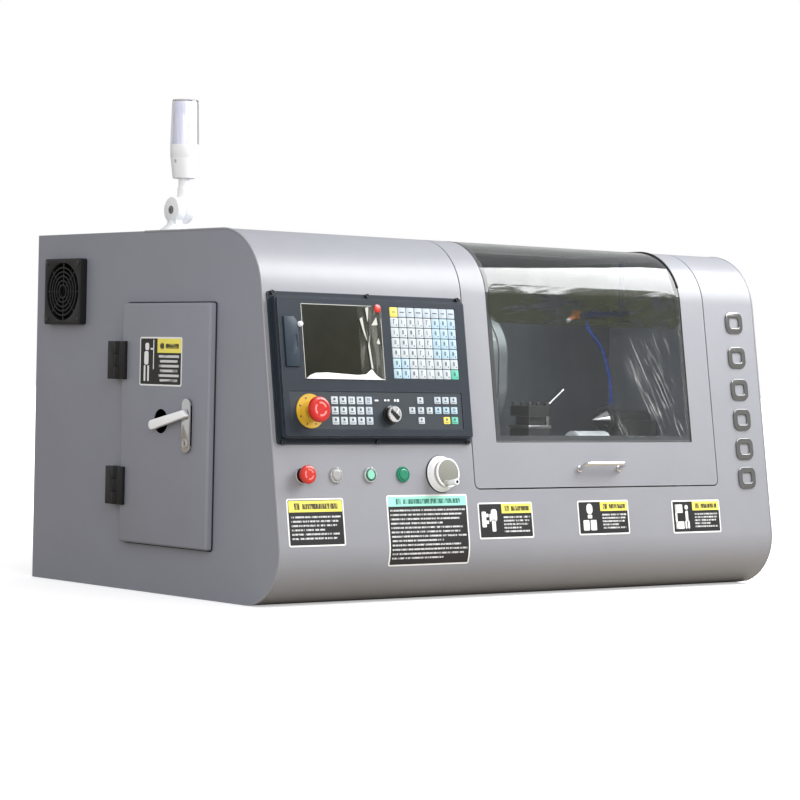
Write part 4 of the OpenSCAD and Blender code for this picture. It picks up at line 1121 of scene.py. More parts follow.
# --------------------------------------------------------------------------- studio
@dataclass
class Studio:
    """Camera, lights, world and floor."""

    location: Triple = (-3.34360, -3.99935, 0.41018)
    lens: float = 122.816
    right: Triple = (0.769931823664, -0.637756568691, 0.021715109966)
    down: Triple = (0.008777913219, -0.023441407092, -0.999686675250)
    ahead: Triple = (0.638065776506, 0.769881198319, -0.012450113496)
    ambient: float = 0.70
    mirror: float = 0.6
    bounce: Colour = (0.40, 0.355, 0.29)

    def camera(self) -> None:
        """Stands the camera at its angle."""
        deselect()
        bpy.ops.object.camera_add()
        camera = bpy.context.object
        axes = (Vector(self.right), -Vector(self.down), -Vector(self.ahead))
        turn = Matrix([axes[0], axes[1], axes[2]]).transposed().to_4x4()
        camera.matrix_world = Matrix.Translation(self.location) @ turn
        camera.data.lens = self.lens
        camera.data.sensor_width = 36
        camera.data.clip_end = 100
        bpy.context.scene.camera = camera
        bpy.context.scene.view_settings.view_transform = "Standard"
        LOG.info("camera at %s", self.location)

    def world(self) -> None:
        """Sets a white backdrop with softer light from it."""
        world = bpy.data.worlds.new("studio")
        world.use_nodes = True
        bpy.context.scene.world = world
        w = Wiring(world.node_tree)
        ray = w.add("LightPath")
        seen = w.maths("MAXIMUM", ray.outputs["Is Camera Ray"], 0.0)
        soft = w.blend(ray.outputs["Is Glossy Ray"], (self.ambient,) * 3 + (1,),
                       (self.mirror,) * 3 + (1,))
        colour = w.blend(seen, soft, (1, 1, 1, 1))
        back = w.add("Background", {"Color": colour})
        w.tree.links.new(back.outputs[0], w.add("OutputWorld").inputs["Surface"])

    def light(self, name: str, place: Vector, aim: Vector, size: tuple[float, float],
              power: float, glossy: bool = True) -> None:
        """Hangs a soft box.

        Args:
            name: The lamp's name.
            place: Where it hangs.
            aim: What it points at.
            size: Its width and height.
            power: Its power in watts.
            glossy: Whether shiny pieces mirror it.
        """
        deselect()
        bpy.ops.object.light_add(type="AREA", location=place)
        lamp = bpy.context.object
        lamp.name = name
        lamp.rotation_euler = (aim - place).to_track_quat("-Z", "Y").to_euler()
        lamp.data.shape = "RECTANGLE"
        lamp.data.size, lamp.data.size_y = size
        lamp.data.energy = power
        lamp.visible_glossy = glossy

    def lights(self) -> None:
        """Hangs the key light, the strip over the cabinet and a fill."""
        self.light("key", Vector((1.81, -1.38, 1.95)), Vector((0.15, -0.28, 0.6)), (2.6, 1.36),
                   96)
        self.light("strip", Vector((0.45, -1.3, 1.9)), Vector((-0.35, -0.3, 0.6)), (0.7, 1.2),
                   18)
        self.light("fill", Vector((-1.95, -3.1, 1.8)), Vector((-0.6, -0.3, 0.4)), (1.4, 1.4), 28,
                   glossy=False)
        self.light("side", Vector((-2.3, -1.7, 0.8)), Vector((-0.6, -0.2, 0.35)), (1.2, 1.0), 15,
                   glossy=False)

    def floor(self) -> None:
        """Lays a pale floor that runs into the backdrop and keeps the shadow."""
        deselect()
        bpy.ops.mesh.primitive_plane_add(size=60, location=(0, 0, -0.0005))
        floor = bpy.context.object
        floor.name = "floor"
        material = bpy.data.materials.new("floor")
        material.use_nodes = True
        w = Wiring(material.node_tree)
        ray = w.add("LightPath")
        colour = w.blend(ray.outputs["Is Camera Ray"], (*self.bounce, 1), (0.86, 0.86, 0.87, 1))
        shader = w.add("BsdfPrincipled", {"Base Color": colour, "Roughness": 0.7,
                                          "Specular IOR Level": 0.1,
                                          "Emission Color": (1, 1, 1, 1)})
        far = w.add("VectorMath", {0: w.add("TexCoord").outputs["Object"]}, operation="LENGTH")
        glow = w.ramp(far.outputs["Value"], 0.9, 3.0, 0.42, 1.2)
        w.tree.links.new(w.maths("MULTIPLY", glow, ray.outputs["Is Camera Ray"]),
                         shader.inputs["Emission Strength"])
        w.tree.links.new(shader.outputs[0], w.add("OutputMaterial").inputs["Surface"])
        floor.data.materials.append(material)

    def build(self) -> None:
        """Sets up everything but the camera, which stands first."""
        self.world()
        self.lights()
        self.floor()


# --------------------------------------------------------------------------- coolant and air lines
@dataclass
class CoolantLines:
    """Coolant pipe, hose with its nozzle, and the air tube."""

    axis_y: float = -46.0
    line_z: float = 519.0
    line_x: float = 404.0
    tube_r: float = 3.0
    tube: tuple[tuple[float, float], ...] = (
        (412, 509), (412, 501), (415, 493), (423, 484), (433, 475), (444, 465), (454, 452),
        (462, 437), (469, 420), (475, 400), (479, 380), (482, 360), (483, 342))

    def air_tube(self) -> None:
        """Hangs the air tube from its tee."""
        path = [p * MM for p in smooth_path([(x, self.axis_y, z) for x, z in self.tube], 4)]
        tube = rod(path, self.tube_r * MM, sides=4)
        lay(tube, "air_tube_shown", "tube", stands_for=("air_tube",), smooth=50)
        length = sum((b - a).length for a, b in zip(path, path[1:]))
        tuple(path[0])
        [tuple(p) for p in path]

    def hose(self) -> None:
        """Joins ball-and-socket links into the hose and puts its nozzle on."""
        links = []
        for i in range(2):
            link = turned([(6.2, 0), (6.5, 0.6), (7.0, 2), (8.2, 3.4), (9.0, 5.4), (9.0, 8),
                           (8.4, 10.2), (7.4, 11), (5.0, 11)], 32)
            links.append(moved(link, x=self.line_x - 0.3 - i * 11, turn=turned_to("Y", -90)))
        hose = joined(links)
        lay(hose, "hose_links", "hose", "hose", at(0, self.axis_y, self.line_z),
            ("coolant_hose",), 40)
        elbow = moved(turned([(6.6, -8), (8.0, -7.2), (8.5, -5), (8.5, 5), (8.0, 7.2),
                              (6.6, 8)], 32), turn=turned_to("X", 90))
        spout = moved(turned([(7.0, 4), (7.0, 7), (6.2, 9), (5.4, 16), (4.6, 22)], 24),
                      turn=turned_to("Y", -118))
        tip = moved(turned([(4.4, 21), (4.2, 24), (3.5, 28), (2.4, 28), (2.2, 22)], 24),
                    turn=turned_to("Y", -118))
        place = at(self.line_x - 22, self.axis_y, self.line_z)
        lay(joined([elbow, spout]), "nozzle", "nozzle", "hose", place)
        lay(tip, "nozzle_tip", "white", "hose", place)

    def build(self) -> None:
        """Builds the lines after the tube, which is made first."""
        smooth_copy("coolant_pipe", "hose")
        self.hose()


# --------------------------------------------------------------------------- cabinet
@dataclass
class Placard:
    """A plain placard that follows the front of the cabinet: border, field, band and shapes."""

    name: str
    x0: float
    x1: float
    s0: float
    s1: float
    band: str = "placard_yellow"
    band_h: float = 17.0
    band_x: float = 0.0
    rows: int = 4
    frame: float = 0.0
    border: float = 2.8
    shapes: tuple[tuple[float, float, float, float, float], ...] = ()

    def sheet(self, name: str, finish: str, box: Box, lift: float, thick: float,
              corner: float) -> None:
        """Lays one sheet of the placard.

        Args:
            name: What the sheet is.
            finish: Its finish.
            box: Left, right, upper and lower edge.
            lift: Height above the cabinet.
            thick: Thickness.
            corner: Radius of its corners.
        """
        lay(wrapped(*box, lift, thick, corner), f"{self.name}_{name}", finish)

    def build(self) -> None:
        """Lays the placard on the cabinet."""
        x0, x1, s0, s1, edge = self.x0, self.x1, self.s0, self.s1, self.border
        self.sheet("back", "placard_white", (x0, x1, s0, s1), 0, 0.3, 4)
        self.sheet("field", "placard_black", (x0 + edge, x1 - edge, s0 + edge, s1 - edge), 0.3,
                   0.1, 1.6)
        left, right = x0 + edge + self.band_x + self.frame, x1 - edge - self.frame
        top = s0 + edge + self.frame
        foot = top + self.band_h
        self.sheet("band", self.band, (left, right, top, foot), 0.4, 0.1, 0.6)
        h = self.band_h
        ink = "print_on_mint" if self.band == "placard_mint" else "print_on_yellow"
        start = left + (right - left) * 0.1
        mark = wrapped(start, start + h * 0.62, top + h * 0.2, top + h * 0.8, 0.5, 0.08, 1.2)
        line = wrapped(start + h * 0.9, right - (right - left) * 0.08, top + h * 0.26,
                       foot - h * 0.24, 0.5, 0.08, 0.8)
        lay(joined([mark, line]), self.name + "_marks", ink)
        self.lines(left, right, foot)
        if self.shapes:
            lay(joined([wrapped(x0 + x, x0 + x + w, s0 + y, s0 + y + tall, 0.4, 0.1, corner)
                        for x, y, w, tall, corner in self.shapes]), self.name + "_shapes",
                "placard_white")

    def lines(self, left: float, right: float, foot: float) -> None:
        """Lays rows of far-off print under the band.

        Args:
            left: Left edge of the band.
            right: Right edge of the band.
            foot: Lower edge of the band.
        """
        top = foot + (5.5 if self.frame == 0 else 7)
        pitch = (self.s1 - 8 - top) / max(1, self.rows)
        bars = []
        for i in range(self.rows):
            end = right - 4 - (right - left) * (0.3 if i % 4 == 3 else 0.04 * (i % 3))
            thick = min(3.0, pitch * 0.55)
            bars.append(wrapped(left + 4, end, top + i * pitch, top + i * pitch + thick, 0.4, 0.08,
                                0.4))
        lay(joined(bars), self.name + "_bars", "print_light")


@dataclass
class Cabinet:
    """Painted sheet-metal cabinet with its placards and the chrome trims of the front."""

    seam_r: float = 2.2
    seam_x: float = 598.9
    seam_start: float = -300.0
    trim_x: float = 541.0
    trim_s: tuple[float, ...] = (134, 202, 264.5, 323, 380, 436)
    trim: tuple[float, float] = (46.0, 41.0)
    placards: tuple[Placard, ...] = (
        Placard("placard_1", -579, -457.5, 461, 542.5, band_h=19, rows=6, frame=1.2),
        Placard("placard_2", -362.5, -179, 458, 581.5, band="placard_mint", band_h=17, rows=12),
        Placard("placard_3", -155, -25, 474, 539, band_x=53, rows=5, shapes=(
            (8, 16, 10, 28, 2), (17, 20, 7, 6, 1), (17, 32, 7, 6, 1), (30, 12, 14, 22, 5),
            (31, 30, 9, 22, 2), (26, 20, 4, 14, 2))),
        Placard("placard_4", 87, 216, 474, 537.5, band_x=54, rows=5, shapes=(
            (22, 6, 15, 19, 7), (24, 26, 11, 7, 2), (12, 36, 15, 19, 2), (30, 36, 15, 19, 2))),
        Placard("placard_5", 330, 459, 477, 539.6, band_x=52, rows=5, shapes=(
            (8, 8, 20, 16, 1), (8, 40, 22, 14, 1), (8, 8, 5, 46, 1), (34, 9, 9, 9, 4.4),
            (35, 20, 7, 20, 3), (33, 39, 4.5, 15, 2), (40, 39, 4.5, 15, 2))))

    def sheets(self) -> None:
        """Dresses the sheets; those with bends are shown as smooth copies."""
        smooth_copy("front_skin", "paint", 25)
        for node in ("rear_cover", "base_tray", "left_end_plate", "right_end_plate"):
            smooth_copy(node, "side_paint", 25)
        smooth_copy("chamber_liner", "liner", 25)
        smooth_copy("hood_hinge", "steel", 30)

    def seams(self) -> None:
        """Runs the rounded corner between the front sheet and each end plate."""
        start = self.seam_start
        stop = SHAPE.flat[1] + SHAPE.bottom_r * (math.pi / 2 - SHAPE.lean)
        steps = [start + (stop - start) * i / 90 for i in range(91)]
        for name, x in (("seam_left", -self.seam_x), ("seam_right", self.seam_x)):
            line = [SHAPE.point(x, s, -1.1) for s in steps]
            lay(rod(line, self.seam_r * MM, sides=4), name, "paint", smooth=60)

    def trims(self) -> None:
        """Fixes the row of plain chrome trims down the right of the front."""
        w, h = self.trim
        rim = carve(plate(w, h, 13, 3.4, 10), moved(plate(w - 20, h - 20, 5, 6, 8), z=-1))
        row = copies(soften(rim, 0.9, 3, 40), [SHAPE.face(self.trim_x, s) for s in self.trim_s])
        lay(row, "front_trims", "trim", smooth=50)

    def build(self) -> None:
        """Builds the cabinet."""
        self.sheets()
        self.seams()
        self.trims()
        for placard in self.placards:
            placard.build()


@dataclass
class Hood:
    """Lift-up hood with its bent window and handle."""

    x0: float = -98.5
    x1: float = 399.5
    s0: float = -227.8
    s1: float = 366.0
    seal_r: float = 1.3
    gap: float = 1.0
    bead_r: float = 2.4
    bead_foot: float = 70.0
    tape_in: float = 2.3
    tape_w: float = 9.5
    scuffs: Box = (205, 394, 128, 356)
    # Where the window's painted dark reflection lies, just below the band that mirrors the key
    # light.
    painted_dark_reflection: Box = (-92, 394, 78, 150)
    handle_x: float = 149.5
    handle_s: float = 416.0
    span: float = 100.0
    out: float = 20.0
    lift: float = 7.5
    bar_r: float = 4.3

    def window(self) -> None:
        """Shows the bent sheet and runs the black seal round it."""
        smooth_copy("hood_shell", "paint", 25)
        smooth_copy("window", "window", 30)
        steps = 60
        down = [self.s0 + (self.s1 - self.s0) * i / steps for i in range(steps + 1)]
        line = [SHAPE.point(self.x0 + self.gap, s, -0.9) for s in down]
        line += [SHAPE.point(self.x1 - self.gap, s, -0.9) for s in reversed(down)]
        lay(rod(line, self.seal_r * MM, closed=True, sides=2), "window_seal", "seal", "hood",
            smooth=60)
        bead = [SHAPE.point(self.x1 - self.gap, s, 0.2) for s in down if s < self.bead_foot]
        lay(rod(bead, self.bead_r * MM, sides=3), "window_bead", "seal", "hood", smooth=60)
        x0, x1, w = self.x0 + self.tape_in, self.x1 - self.tape_in, self.tape_w
        s0, s1 = self.s0 + self.tape_in, self.s1 - self.tape_in
        edges = ((x0, x0 + w, s0, s1), (x1 - w, x1, s0, s1), (x0 + w, x1 - w, s1 - w, s1),
                 (x0 + w, x1 - w, s0, s0 + w))
        lay(joined([wrapped(*edge, -2.9, 0.2, 0) for edge in edges]), "window_tape", "tape",
            "hood", smooth=60)
        lay(wrapped(*self.scuffs, 0.15, 0.05, 20), "window_scuffs", "scuffs", "hood", smooth=60)
        # Painted dark reflection across the upper part of the window.
        lay(wrapped(*self.painted_dark_reflection, 0.12, 0.04, 20), "window_painted_dark_reflection", "painted_dark_reflection", "hood", smooth=60)

    def handle(self) -> None:
        """Bends the chrome handle and stands it on its foot discs."""
        half = self.span / 2
        line = [(-half, 0, 1), (-half, self.lift, self.out), (half, self.lift, self.out),
                (half, 0, 1)]
        bent = rod(rounded_path(line, 9, steps=8), self.bar_r - 0.3, sides=6)
        feet = [moved(turned([(6.3, 0), (6.3, 1.4), (5.9, 2), (5.0, 2.6)], 32), x=x)
                for x in (-half, half)]
        lay(joined([bent, *feet]), "hood_handle_shown", "chrome", "hood",
            SHAPE.face(self.handle_x, self.handle_s), ("hood_handle",), 60)

    def build(self) -> None:
        """Builds the hood."""
        self.window()
        self.handle()


@dataclass
class SideDoor:
    """Service door of the left end with its lock, lever and hinges."""

    face_x: float = -614.0
    lock_y: float = -133.5
    lock_z: float = 299.0
    lever_z: float = 319.0
    lever: tuple[float, float, float, float] = (93.5, 13.0, 17.0, 9.0)
    drop: float = 13.0
    y: tuple[float, float] = (-192.0, 76.0)
    z: tuple[float, float] = (86.0, 512.0)
    skin: float = 1.5
    back_x: float = -600.8
    seal_x: float = -601.3
    seal_out: float = 1.0
    hole: Triple = (-50.0, 304.5, 21.5)
    placard_at: tuple[float, float] = (-46.5, 409.0)
    figure: tuple[Box, ...] = ((-42, 26, 12, 13), (-44, 6, 13, 24), (-49, -21, 5, 28),
                               (-38, -21, 5, 28), (-22, 12, 2.5, 52), (-27, 22, 9, 3))

    def panel(self) -> None:
        """Folds the door from sheet: a pan with rounded edges, its holes and its rubber seal."""
        (y0, y1), (z0, z1) = self.y, self.z
        pan = block((24, y1 - y0, z1 - z0), (self.face_x + 12, (y0 + y1) / 2, (z0 + z1) / 2))
        soften(pan, 4.5, 4)
        with editing():
            bpy.ops.mesh.bisect(plane_co=(self.back_x, 0, 0), plane_no=(1, 0, 0),
                                clear_outer=True)
        fold = pan.modifiers.new("fold", "SOLIDIFY")
        fold.thickness = self.skin
        fold.offset = -1
        pick(pan)
        bpy.ops.object.modifier_apply(modifier=fold.name)
        y, z, r = self.hole
        carve(pan, moved(turned([(r, 0), (r, 8)], 64), self.face_x - 3, y, z, ALONG_X))
        carve(pan, moved(turned([(6, 0), (6, 8)], 24), self.face_x - 3, self.lock_y, self.lever_z,
                         ALONG_X))
        lay(pan, "side_door_shown", "side_paint", "side_door", at(0, 0, 0), ("side_door",), 40)
        x, out = self.seal_x, self.seal_out
        ring = [(x, y0 - out, z0 - out), (x, y1 + out, z0 - out), (x, y1 + out, z1 + out),
                (x, y0 - out, z1 + out)]
        seal = rod(rounded_path(ring, 6, closed=True), 1.25, closed=True, sides=2)
        lay(seal, "door_seal", "seal", "side_door", at(0, 0, 0), smooth=60)

    def lock(self) -> None:
        """Builds the lock plate with its sunk middle, its cylinder and its screws."""
        place = at(self.face_x, self.lock_y, self.lock_z, FACING_LEFT)
        body = soften(sunk(plate(25, 94, 12, 6.5, 10), 6.5, 4.2, 1.4), 1.1, 3, 40)
        lay(body, "lock_plate", "chrome", "side_door", place, ("door_lock",), 50)
        barrel = moved(turned([(8, 4.8), (8, 7.6), (7.4, 8.2), (6, 8.2), (5.6, 7.5)], 32), y=-31)
        lay(barrel, "lock_cylinder", "bright", "side_door", place)
        slit = block((1.6, 8, 0.5), (0, -31, 7.7))
        screws = [moved(turned([(2.6, 5), (2.4, 5.8), (1.2, 6.1)], 20), 0, y)
                  for y in (-4, -13, 35)]
        lay(joined([slit, *screws]), "key_slot", "dark_steel", "side_door", place)

    def handle(self) -> None:
        """Builds the flat white lever with its round end on its chrome hub."""
        length, w, tip, t = self.lever
        turns = [math.radians(90 + 12 * i) for i in range(16)]
        arc = [(tip / 2 * math.cos(a) - length, tip / 2 * math.sin(a)) for a in turns]
        outline = [(2, w / 2), *arc, (w, -w / 2)]
        arm = soften(cutout(outline, t), 1.6, 3, 40)
        arm.data.transform(turned_to("Z", self.drop))
        place = at(self.face_x - 7, self.lock_y, self.lever_z, FACING_LEFT)
        lay(arm, "lever_shown", "white", "lock_lever", place, ("door_lever",), 50)
        hub = turned([(5, -12), (5, 0), (9, 0.1), (9, 3), (8, 4), (3, 4)], 40)
        lay(hub, "lever_hub", "chrome", "lock_lever", place, smooth=50)

    def hinges(self) -> None:
        """Rounds the hinge leaves and knuckles."""
        smooth_copy("door_hinge_posts", "matt_black", 32, 0.9)
        smooth_copy("door_hinge_leaves", "matt_black", 32, 0.9)

    def sheet(self, name: str, finish: str, piece: bpy.types.Object, z: float) -> None:
        """Lays one sheet of the placard at a height above the door."""
        lay(moved(piece, z=z), "door_placard_" + name, finish, "side_door",
            at(self.face_x, *self.placard_at, FACING_LEFT))

    def placard(self) -> None:
        """Fixes the door's plain placard: border, field, band, print and a figure."""
        self.sheet("back", "placard_white", plate(129, 86, 4, 0.3), 0)
        self.sheet("field", "placard_black", plate(123.4, 80.4, 2.4, 0.1), 0.3)
        self.sheet("band", "placard_yellow", moved(plate(72, 25, 0.8, 0.1), x=25.7, y=27.7), 0.4)
        marks = [bar(4, 27, 12, 12, 0.1), bar(35, 27, 40, 9, 0.1)]
        self.sheet("marks", "print_on_yellow", joined(marks), 0.5)
        rows = [bar(25, 9 - 8.4 * i, 62 - 8 * (i % 2), 4.4, 0.1) for i in range(6)]
        self.sheet("bars", "print_light", joined(rows), 0.4)
        shapes = [bar(*shape, 0.12) for shape in self.figure]
        self.sheet("shapes", "placard_white", joined(shapes), 0.4)

    def build(self) -> None:
        """Builds the door."""
        self.panel()
        self.lock()
        self.handle()
        self.hinges()
        self.placard()


@dataclass
class Fan:
    """Fan with its grille on the left end."""

    y: float = 276.5
    z: float = 534.0
    side: float = 121.0
    front_x: float = -613.3
    screw_in: float = 8.5

    def build(self) -> None:
        """Shows the housing and impeller and adds corner screws."""
        smooth_copy("fan_housing", "matt_black", 32, 0.4)
        smooth_copy("fan_impeller", "matt_black", 40)
        off = self.side / 2 - self.screw_in
        places = [at(self.front_x, self.y + a * off, self.z + b * off, turned_to("Y", -90))
                  for a in (-1, 1) for b in (-1, 1)]
        lay(copies(turned([(4.2, 0), (4.0, 0.9), (2.6, 1.3), (2.2, 0.3)], 20), places),
            "fan_screws", "gloss_black")


# --------------------------------------------------------------------------- control panel
def arcs(inner: float, outer: float, z: float, count: int) -> bpy.types.Object:
    """Thin arcs printed round the face of a button.

    Args:
        inner: Inner radius.
        outer: Outer radius.
        z: Height of the face.
        count: Number of arcs.

    Returns:
        The joined arcs.
    """
    made = []
    span = 2 * math.pi / count
    for i in range(count):
        turns = [span * (i + 0.14 + 0.72 * k / 10) for k in range(11)]
        ring = [(outer * math.cos(a), outer * math.sin(a)) for a in turns]
        ring += [(inner * math.cos(a), inner * math.sin(a)) for a in reversed(turns)]
        made.append(moved(cutout(ring, 0.15), z=z))
    return joined(made)


@dataclass
class ControlPanel:
    """Control panel with its screen under film, keys, flap, stop button and override knob."""

    x: float = -376.0
    s: float = 239.5
    size: tuple[float, float] = (430.0, 260.0)
    face_w: float = 18.0
    pad_w: float = 16.0
    pad_t: float = 0.8
    key_t: float = 0.8
    screen: tuple[float, float] = (-446.5, 196.0)
    film: Triple = (35.0, 52.0, 129.0)                        # start, width and height
    keys: tuple[float, float] = (-265.0, 194.5)
    key_size: tuple[float, float] = (17.6, 17.0)
    key_pitch: tuple[float, float] = (18.625, 18.0)
    low: tuple[float, float] = (-378.5, 313.5)
    low_left: Box = (-474.5, 296.1, 18.6, 17.5)               # first key and pitch
    low_cross: Box = (-284.0, 312.5, 19.8, 17.6)
    low_right: Box = (-244.7, 294.5, 18.5, 17.7)
    estop: tuple[float, float] = (-528.0, 315.0)
    override: tuple[float, float] = (-353.0, 320.6)
    keycaps: dict[str, list[tuple[float, float, float, float]]] = field(default_factory=dict)

    def face(self, w: float = 0.0) -> Matrix:
        """The panel's own drawing: x and -s run from zero, at a height above the sheet."""
        return SHAPE.face(0, 0, w)

    def housing(self) -> None:
        """Shows the moulding and puts in its socket screws."""
        smooth_copy("panel_body", "panel", 30)
        places = [SHAPE.face(self.x + dx, s, 2.9) for dx in (-205, 0, 205) for s in (112.1, 366.9)]
        lay(copies(socket_screw(4.0, 4.0), places), "panel_screws", "gloss_black", smooth=30)
        knob = turned([(4.6, 0), (4.6, 0.5), (2.6, 0.8), (2.4, 2.2), (3.8, 2.8), (4.2, 4.2),
                       (3.4, 5.4), (1.6, 6)], 28)
        lay(knob, "screen_knob", "white", place=SHAPE.face(-538, 167, self.face_w))

    def screen_film(self) -> None:
        """Dresses the screen and lays the loose film, its curl and its tab over it."""
        dress("screen", "display")
        x, s = self.screen
        place = SHAPE.face(x, s, self.face_w + 0.15)
        start, wide, high = self.film
        film = moved(plate(wide, high, 1, 0.12), start + wide / 2)
        cuts = [((start + wide * i / 20, 0, 0), (1, 0, 0)) for i in range(1, 20)]
        cuts += [((0, -high / 2 + high * i / 24, 0), (0, 1, 0)) for i in range(1, 24)]
        with editing("FACE"):
            for point, normal in cuts:
                bpy.ops.mesh.select_all(action="SELECT")
                bpy.ops.mesh.bisect(plane_co=point, plane_no=normal)
        for v in film.data.vertices:
            right = max(0.0, (v.co.x - start) / wide)
            ripple = math.sin(v.co.x * 0.55 + v.co.y * 0.09) * math.sin(v.co.y * 0.13 + 1)
            v.co.z += 0.25 + 0.9 * right * (1 + ripple)
        lay(film, "screen_film", "film", place=place, smooth=60)
        edges = [bar(-86.6, 0, 1.1, 128, 0.15), bar(-10, 64, 152, 1.1, 0.15),
                 bar(86.3, -10, 1.1, 106, 0.15)]
        lay(joined(edges), "film_edges", "film_crease", place=place)
        curl = cutout([(-86, -64), (-78, -58), (-66, -54), (-40, -53), (-5, -55), (25, -56.5),
                       (44, -55), (52, -49), (57, -46), (66, -56), (76, -62), (86, -64)], 0.2)
        lay(curl, "film_curl", "film_curl", place=SHAPE.face(x, s, self.face_w + 1.6))
        shards = [cutout([(37, 41), (43, 44), (46, 24), (51, 2), (45, 14), (40, 30)], 0.15),
                  cutout([(51, 60), (58, 62), (56, 44), (54, 36)], 0.15),
                  cutout([(62, 30), (74, 45), (76, 31)], 0.15),
                  cutout([(71, 0), (76, 8), (79, -1), (75, -3)], 0.15),
                  cutout([(56, -44), (60, -46), (55, 0), (57, 14), (52, -6)], 0.15)]
        lay(joined(shards), "film_creases", "film_crease",
            place=SHAPE.face(x, s, self.face_w + 2.4))
        lay(turned([(7.2, 0), (7.2, 0.8), (6.6, 1.1), (1.5, 1.2)], 28), "film_tab", "orange_red",
            place=SHAPE.face(x + 79, s - 60, self.face_w + 1.4))

    def cap(self, finish: str, x: float, s: float, w: float, h: float) -> None:
        """Notes a key of a finish."""
        self.keycaps.setdefault(finish, []).append((x, s, w, h))

    def main_keys(self) -> None:
        """Notes the keys of the upper membrane."""
        for row in range(7):
            for col in range(8):
                finish = "key_white"
                if row == 0:
                    finish = "key_yellow" if col == 0 else "key_grey"
                elif row < 5 and col > 4 or row > 4 and col < 2:
                    finish = "key_blue"
                elif row == 6 and col == 7:
                    finish = "key_green"
                self.cap(finish, self.keys[0] + (col - 3.5) * self.key_pitch[0],
                         self.keys[1] + (row - 3) * self.key_pitch[1], *self.key_size)

    def low_keys(self) -> None:
        """Notes the three groups of the lower membrane."""
        x, s, dx, ds = self.low_left
        for col in range(5):
            for row in range(3):
                self.cap("key_grey" if col == 4 else "key_white", x + dx * col, s + ds * row, 15,
                         13.5)
        x, s, dx, ds = self.low_cross
        for a, b in ((0, -1), (-1, 0), (0, 0), (1, 0), (0, 1)):
            self.cap("key_grey" if a == b else "key_white", x + dx * a, s + ds * b, 14, 12)
        x, s, dx, ds = self.low_right
        tones = {(1, 2): "key_yellow", (2, 2): "key_green"}
        for col in range(3):
            for row in range(3):
                if col > 0 or row < 2:
                    self.cap(tones.get((col, row), "key_blue" if row == 1 else "key_grey"),
                             x + dx * col, s + ds * row, 15, 12.5)

    def membranes(self) -> None:
        """Lays the two membranes, every key and the plain print on the keys."""
        top = self.pad_w + self.pad_t
        pads = [moved(plate(149, 126, 1.5, self.pad_t), self.keys[0], -self.keys[1]),
                moved(plate(380, 65, 2.5, self.pad_t), self.low[0], -self.low[1])]
        lay(joined(pads), "membranes", "pad", place=self.face(self.pad_w), stands_for=("keypad",))
        self.main_keys()
        self.low_keys()
        marks = []
        for finish, caps in self.keycaps.items():
            made = []
            for x, s, w, h in caps:
                made.append(moved(plate(w - 0.4, h - 0.4, 1.2, self.key_t, 3), x, -s))
                marks += self.print_on(x, s, w, h)
            row = joined(made)
            soften(row, 0.25, 2, 50)
            lay(row, finish + "s", finish, place=self.face(top), smooth=30)
        lay(joined(marks), "key_print", "print_dark", place=self.face(top + self.key_t))

    def print_on(self, x: float, s: float, w: float, h: float) -> list[bpy.types.Object]:
        """Plain marks that stand for a key's print.

        Args:
            x: The key's place across.
            s: The key's place down the slope.
            w: The key's width.
            h: The key's height.

        Returns:
            The marks.
        """
        number = int(x * 7 + s * 13)
        kind = number % 4
        if s > 270:
            long = w * (0.44 + 0.06 * kind)
            icon = [bar(x, -s + h * 0.14, h * 0.34, h * 0.34, 0.05)] if kind else \
                [bar(x - 1.6, -s + h * 0.14, 1.8, h * 0.36, 0.05),
                 bar(x + 1.6, -s + h * 0.14, 1.8, h * 0.36, 0.05)]
            return [*icon, bar(x, -s - h * 0.27, long, 1.1, 0.05)]
        if s < 150:
            return [bar(x, -s, w * (0.4 + 0.08 * kind), 1.9, 0.05)]
        tall = h * 0.44
        marks = [bar(x - 1.6, -s + 1, 1.5, tall, 0.05)]
        if kind % 2:
            marks.append(bar(x + 0.6, -s + 1, 1.5, tall, 0.05))
        if kind > 1:
            marks.append(bar(x - 0.6, -s + 1 + tall / 2 * (1 if kind == 2 else 0), 4.2, 1.4, 0.05))
        marks.append(bar(x + 4.6, -s - 4.6, 2.2, 2.6, 0.05))
        return marks

    def flap_cover(self) -> None:
        """Shows the hinged flap with its finger groove."""
        smooth_copy("usb_flap", "panel_dark", 30, 0.4)

    def stop_mushroom(self) -> None:
        """Turns the emergency stop: yellow disc with plain marks, collar and red head."""
        x, s = self.estop
        base = self.pad_w + self.pad_t
        disc = turned([(29.5, 0), (29.5, 1.6), (28.9, 2.2), (18.6, 2.25), (17.8, 3.2),
                       (15.4, 7), (13.2, 7.1)], 72)
        lay(disc, "estop_disc", "yellow", place=SHAPE.face(x, s, base),
            stands_for=("estop_ring",), smooth=35)
        marks = []
        for i in range(8):
            a = math.radians(22.5 + 45 * i)
            mark = plate(2.4 if i % 2 else 3.2, 4.6 if i % 2 else 3.2, 1, 0.12, 3)
            turn = Matrix.Rotation(a - math.pi / 2, 4, "Z")
            marks.append(moved(mark, 23.6 * math.cos(a), 23.6 * math.sin(a), 2.2, turn))
        lay(joined(marks), "estop_marks", "print_dark", place=SHAPE.face(x, s, base))
        head = turned([(8, -21), (8, 12), (12.5, 12), (12.5, 18.6), (19.4, 19.2), (20.9, 20.2),
                       (21.8, 21.6), (22.0, 24), (21.8, 26), (21.0, 28), (19.6, 29.3),
                       (17.6, 29.9), (15.8, 30), (15.5, 29.6), (8, 29.5), (2, 29.5)], 64)
        lay(head, "estop_head", "red", "estop", SHAPE.face(x, s, self.face_w),
            ("estop_button",), 40)
        lay(arcs(9.5, 12.5, 29.45, 3), "estop_arcs", "pale_red", "estop",
            SHAPE.face(x, s, self.face_w), smooth=40)

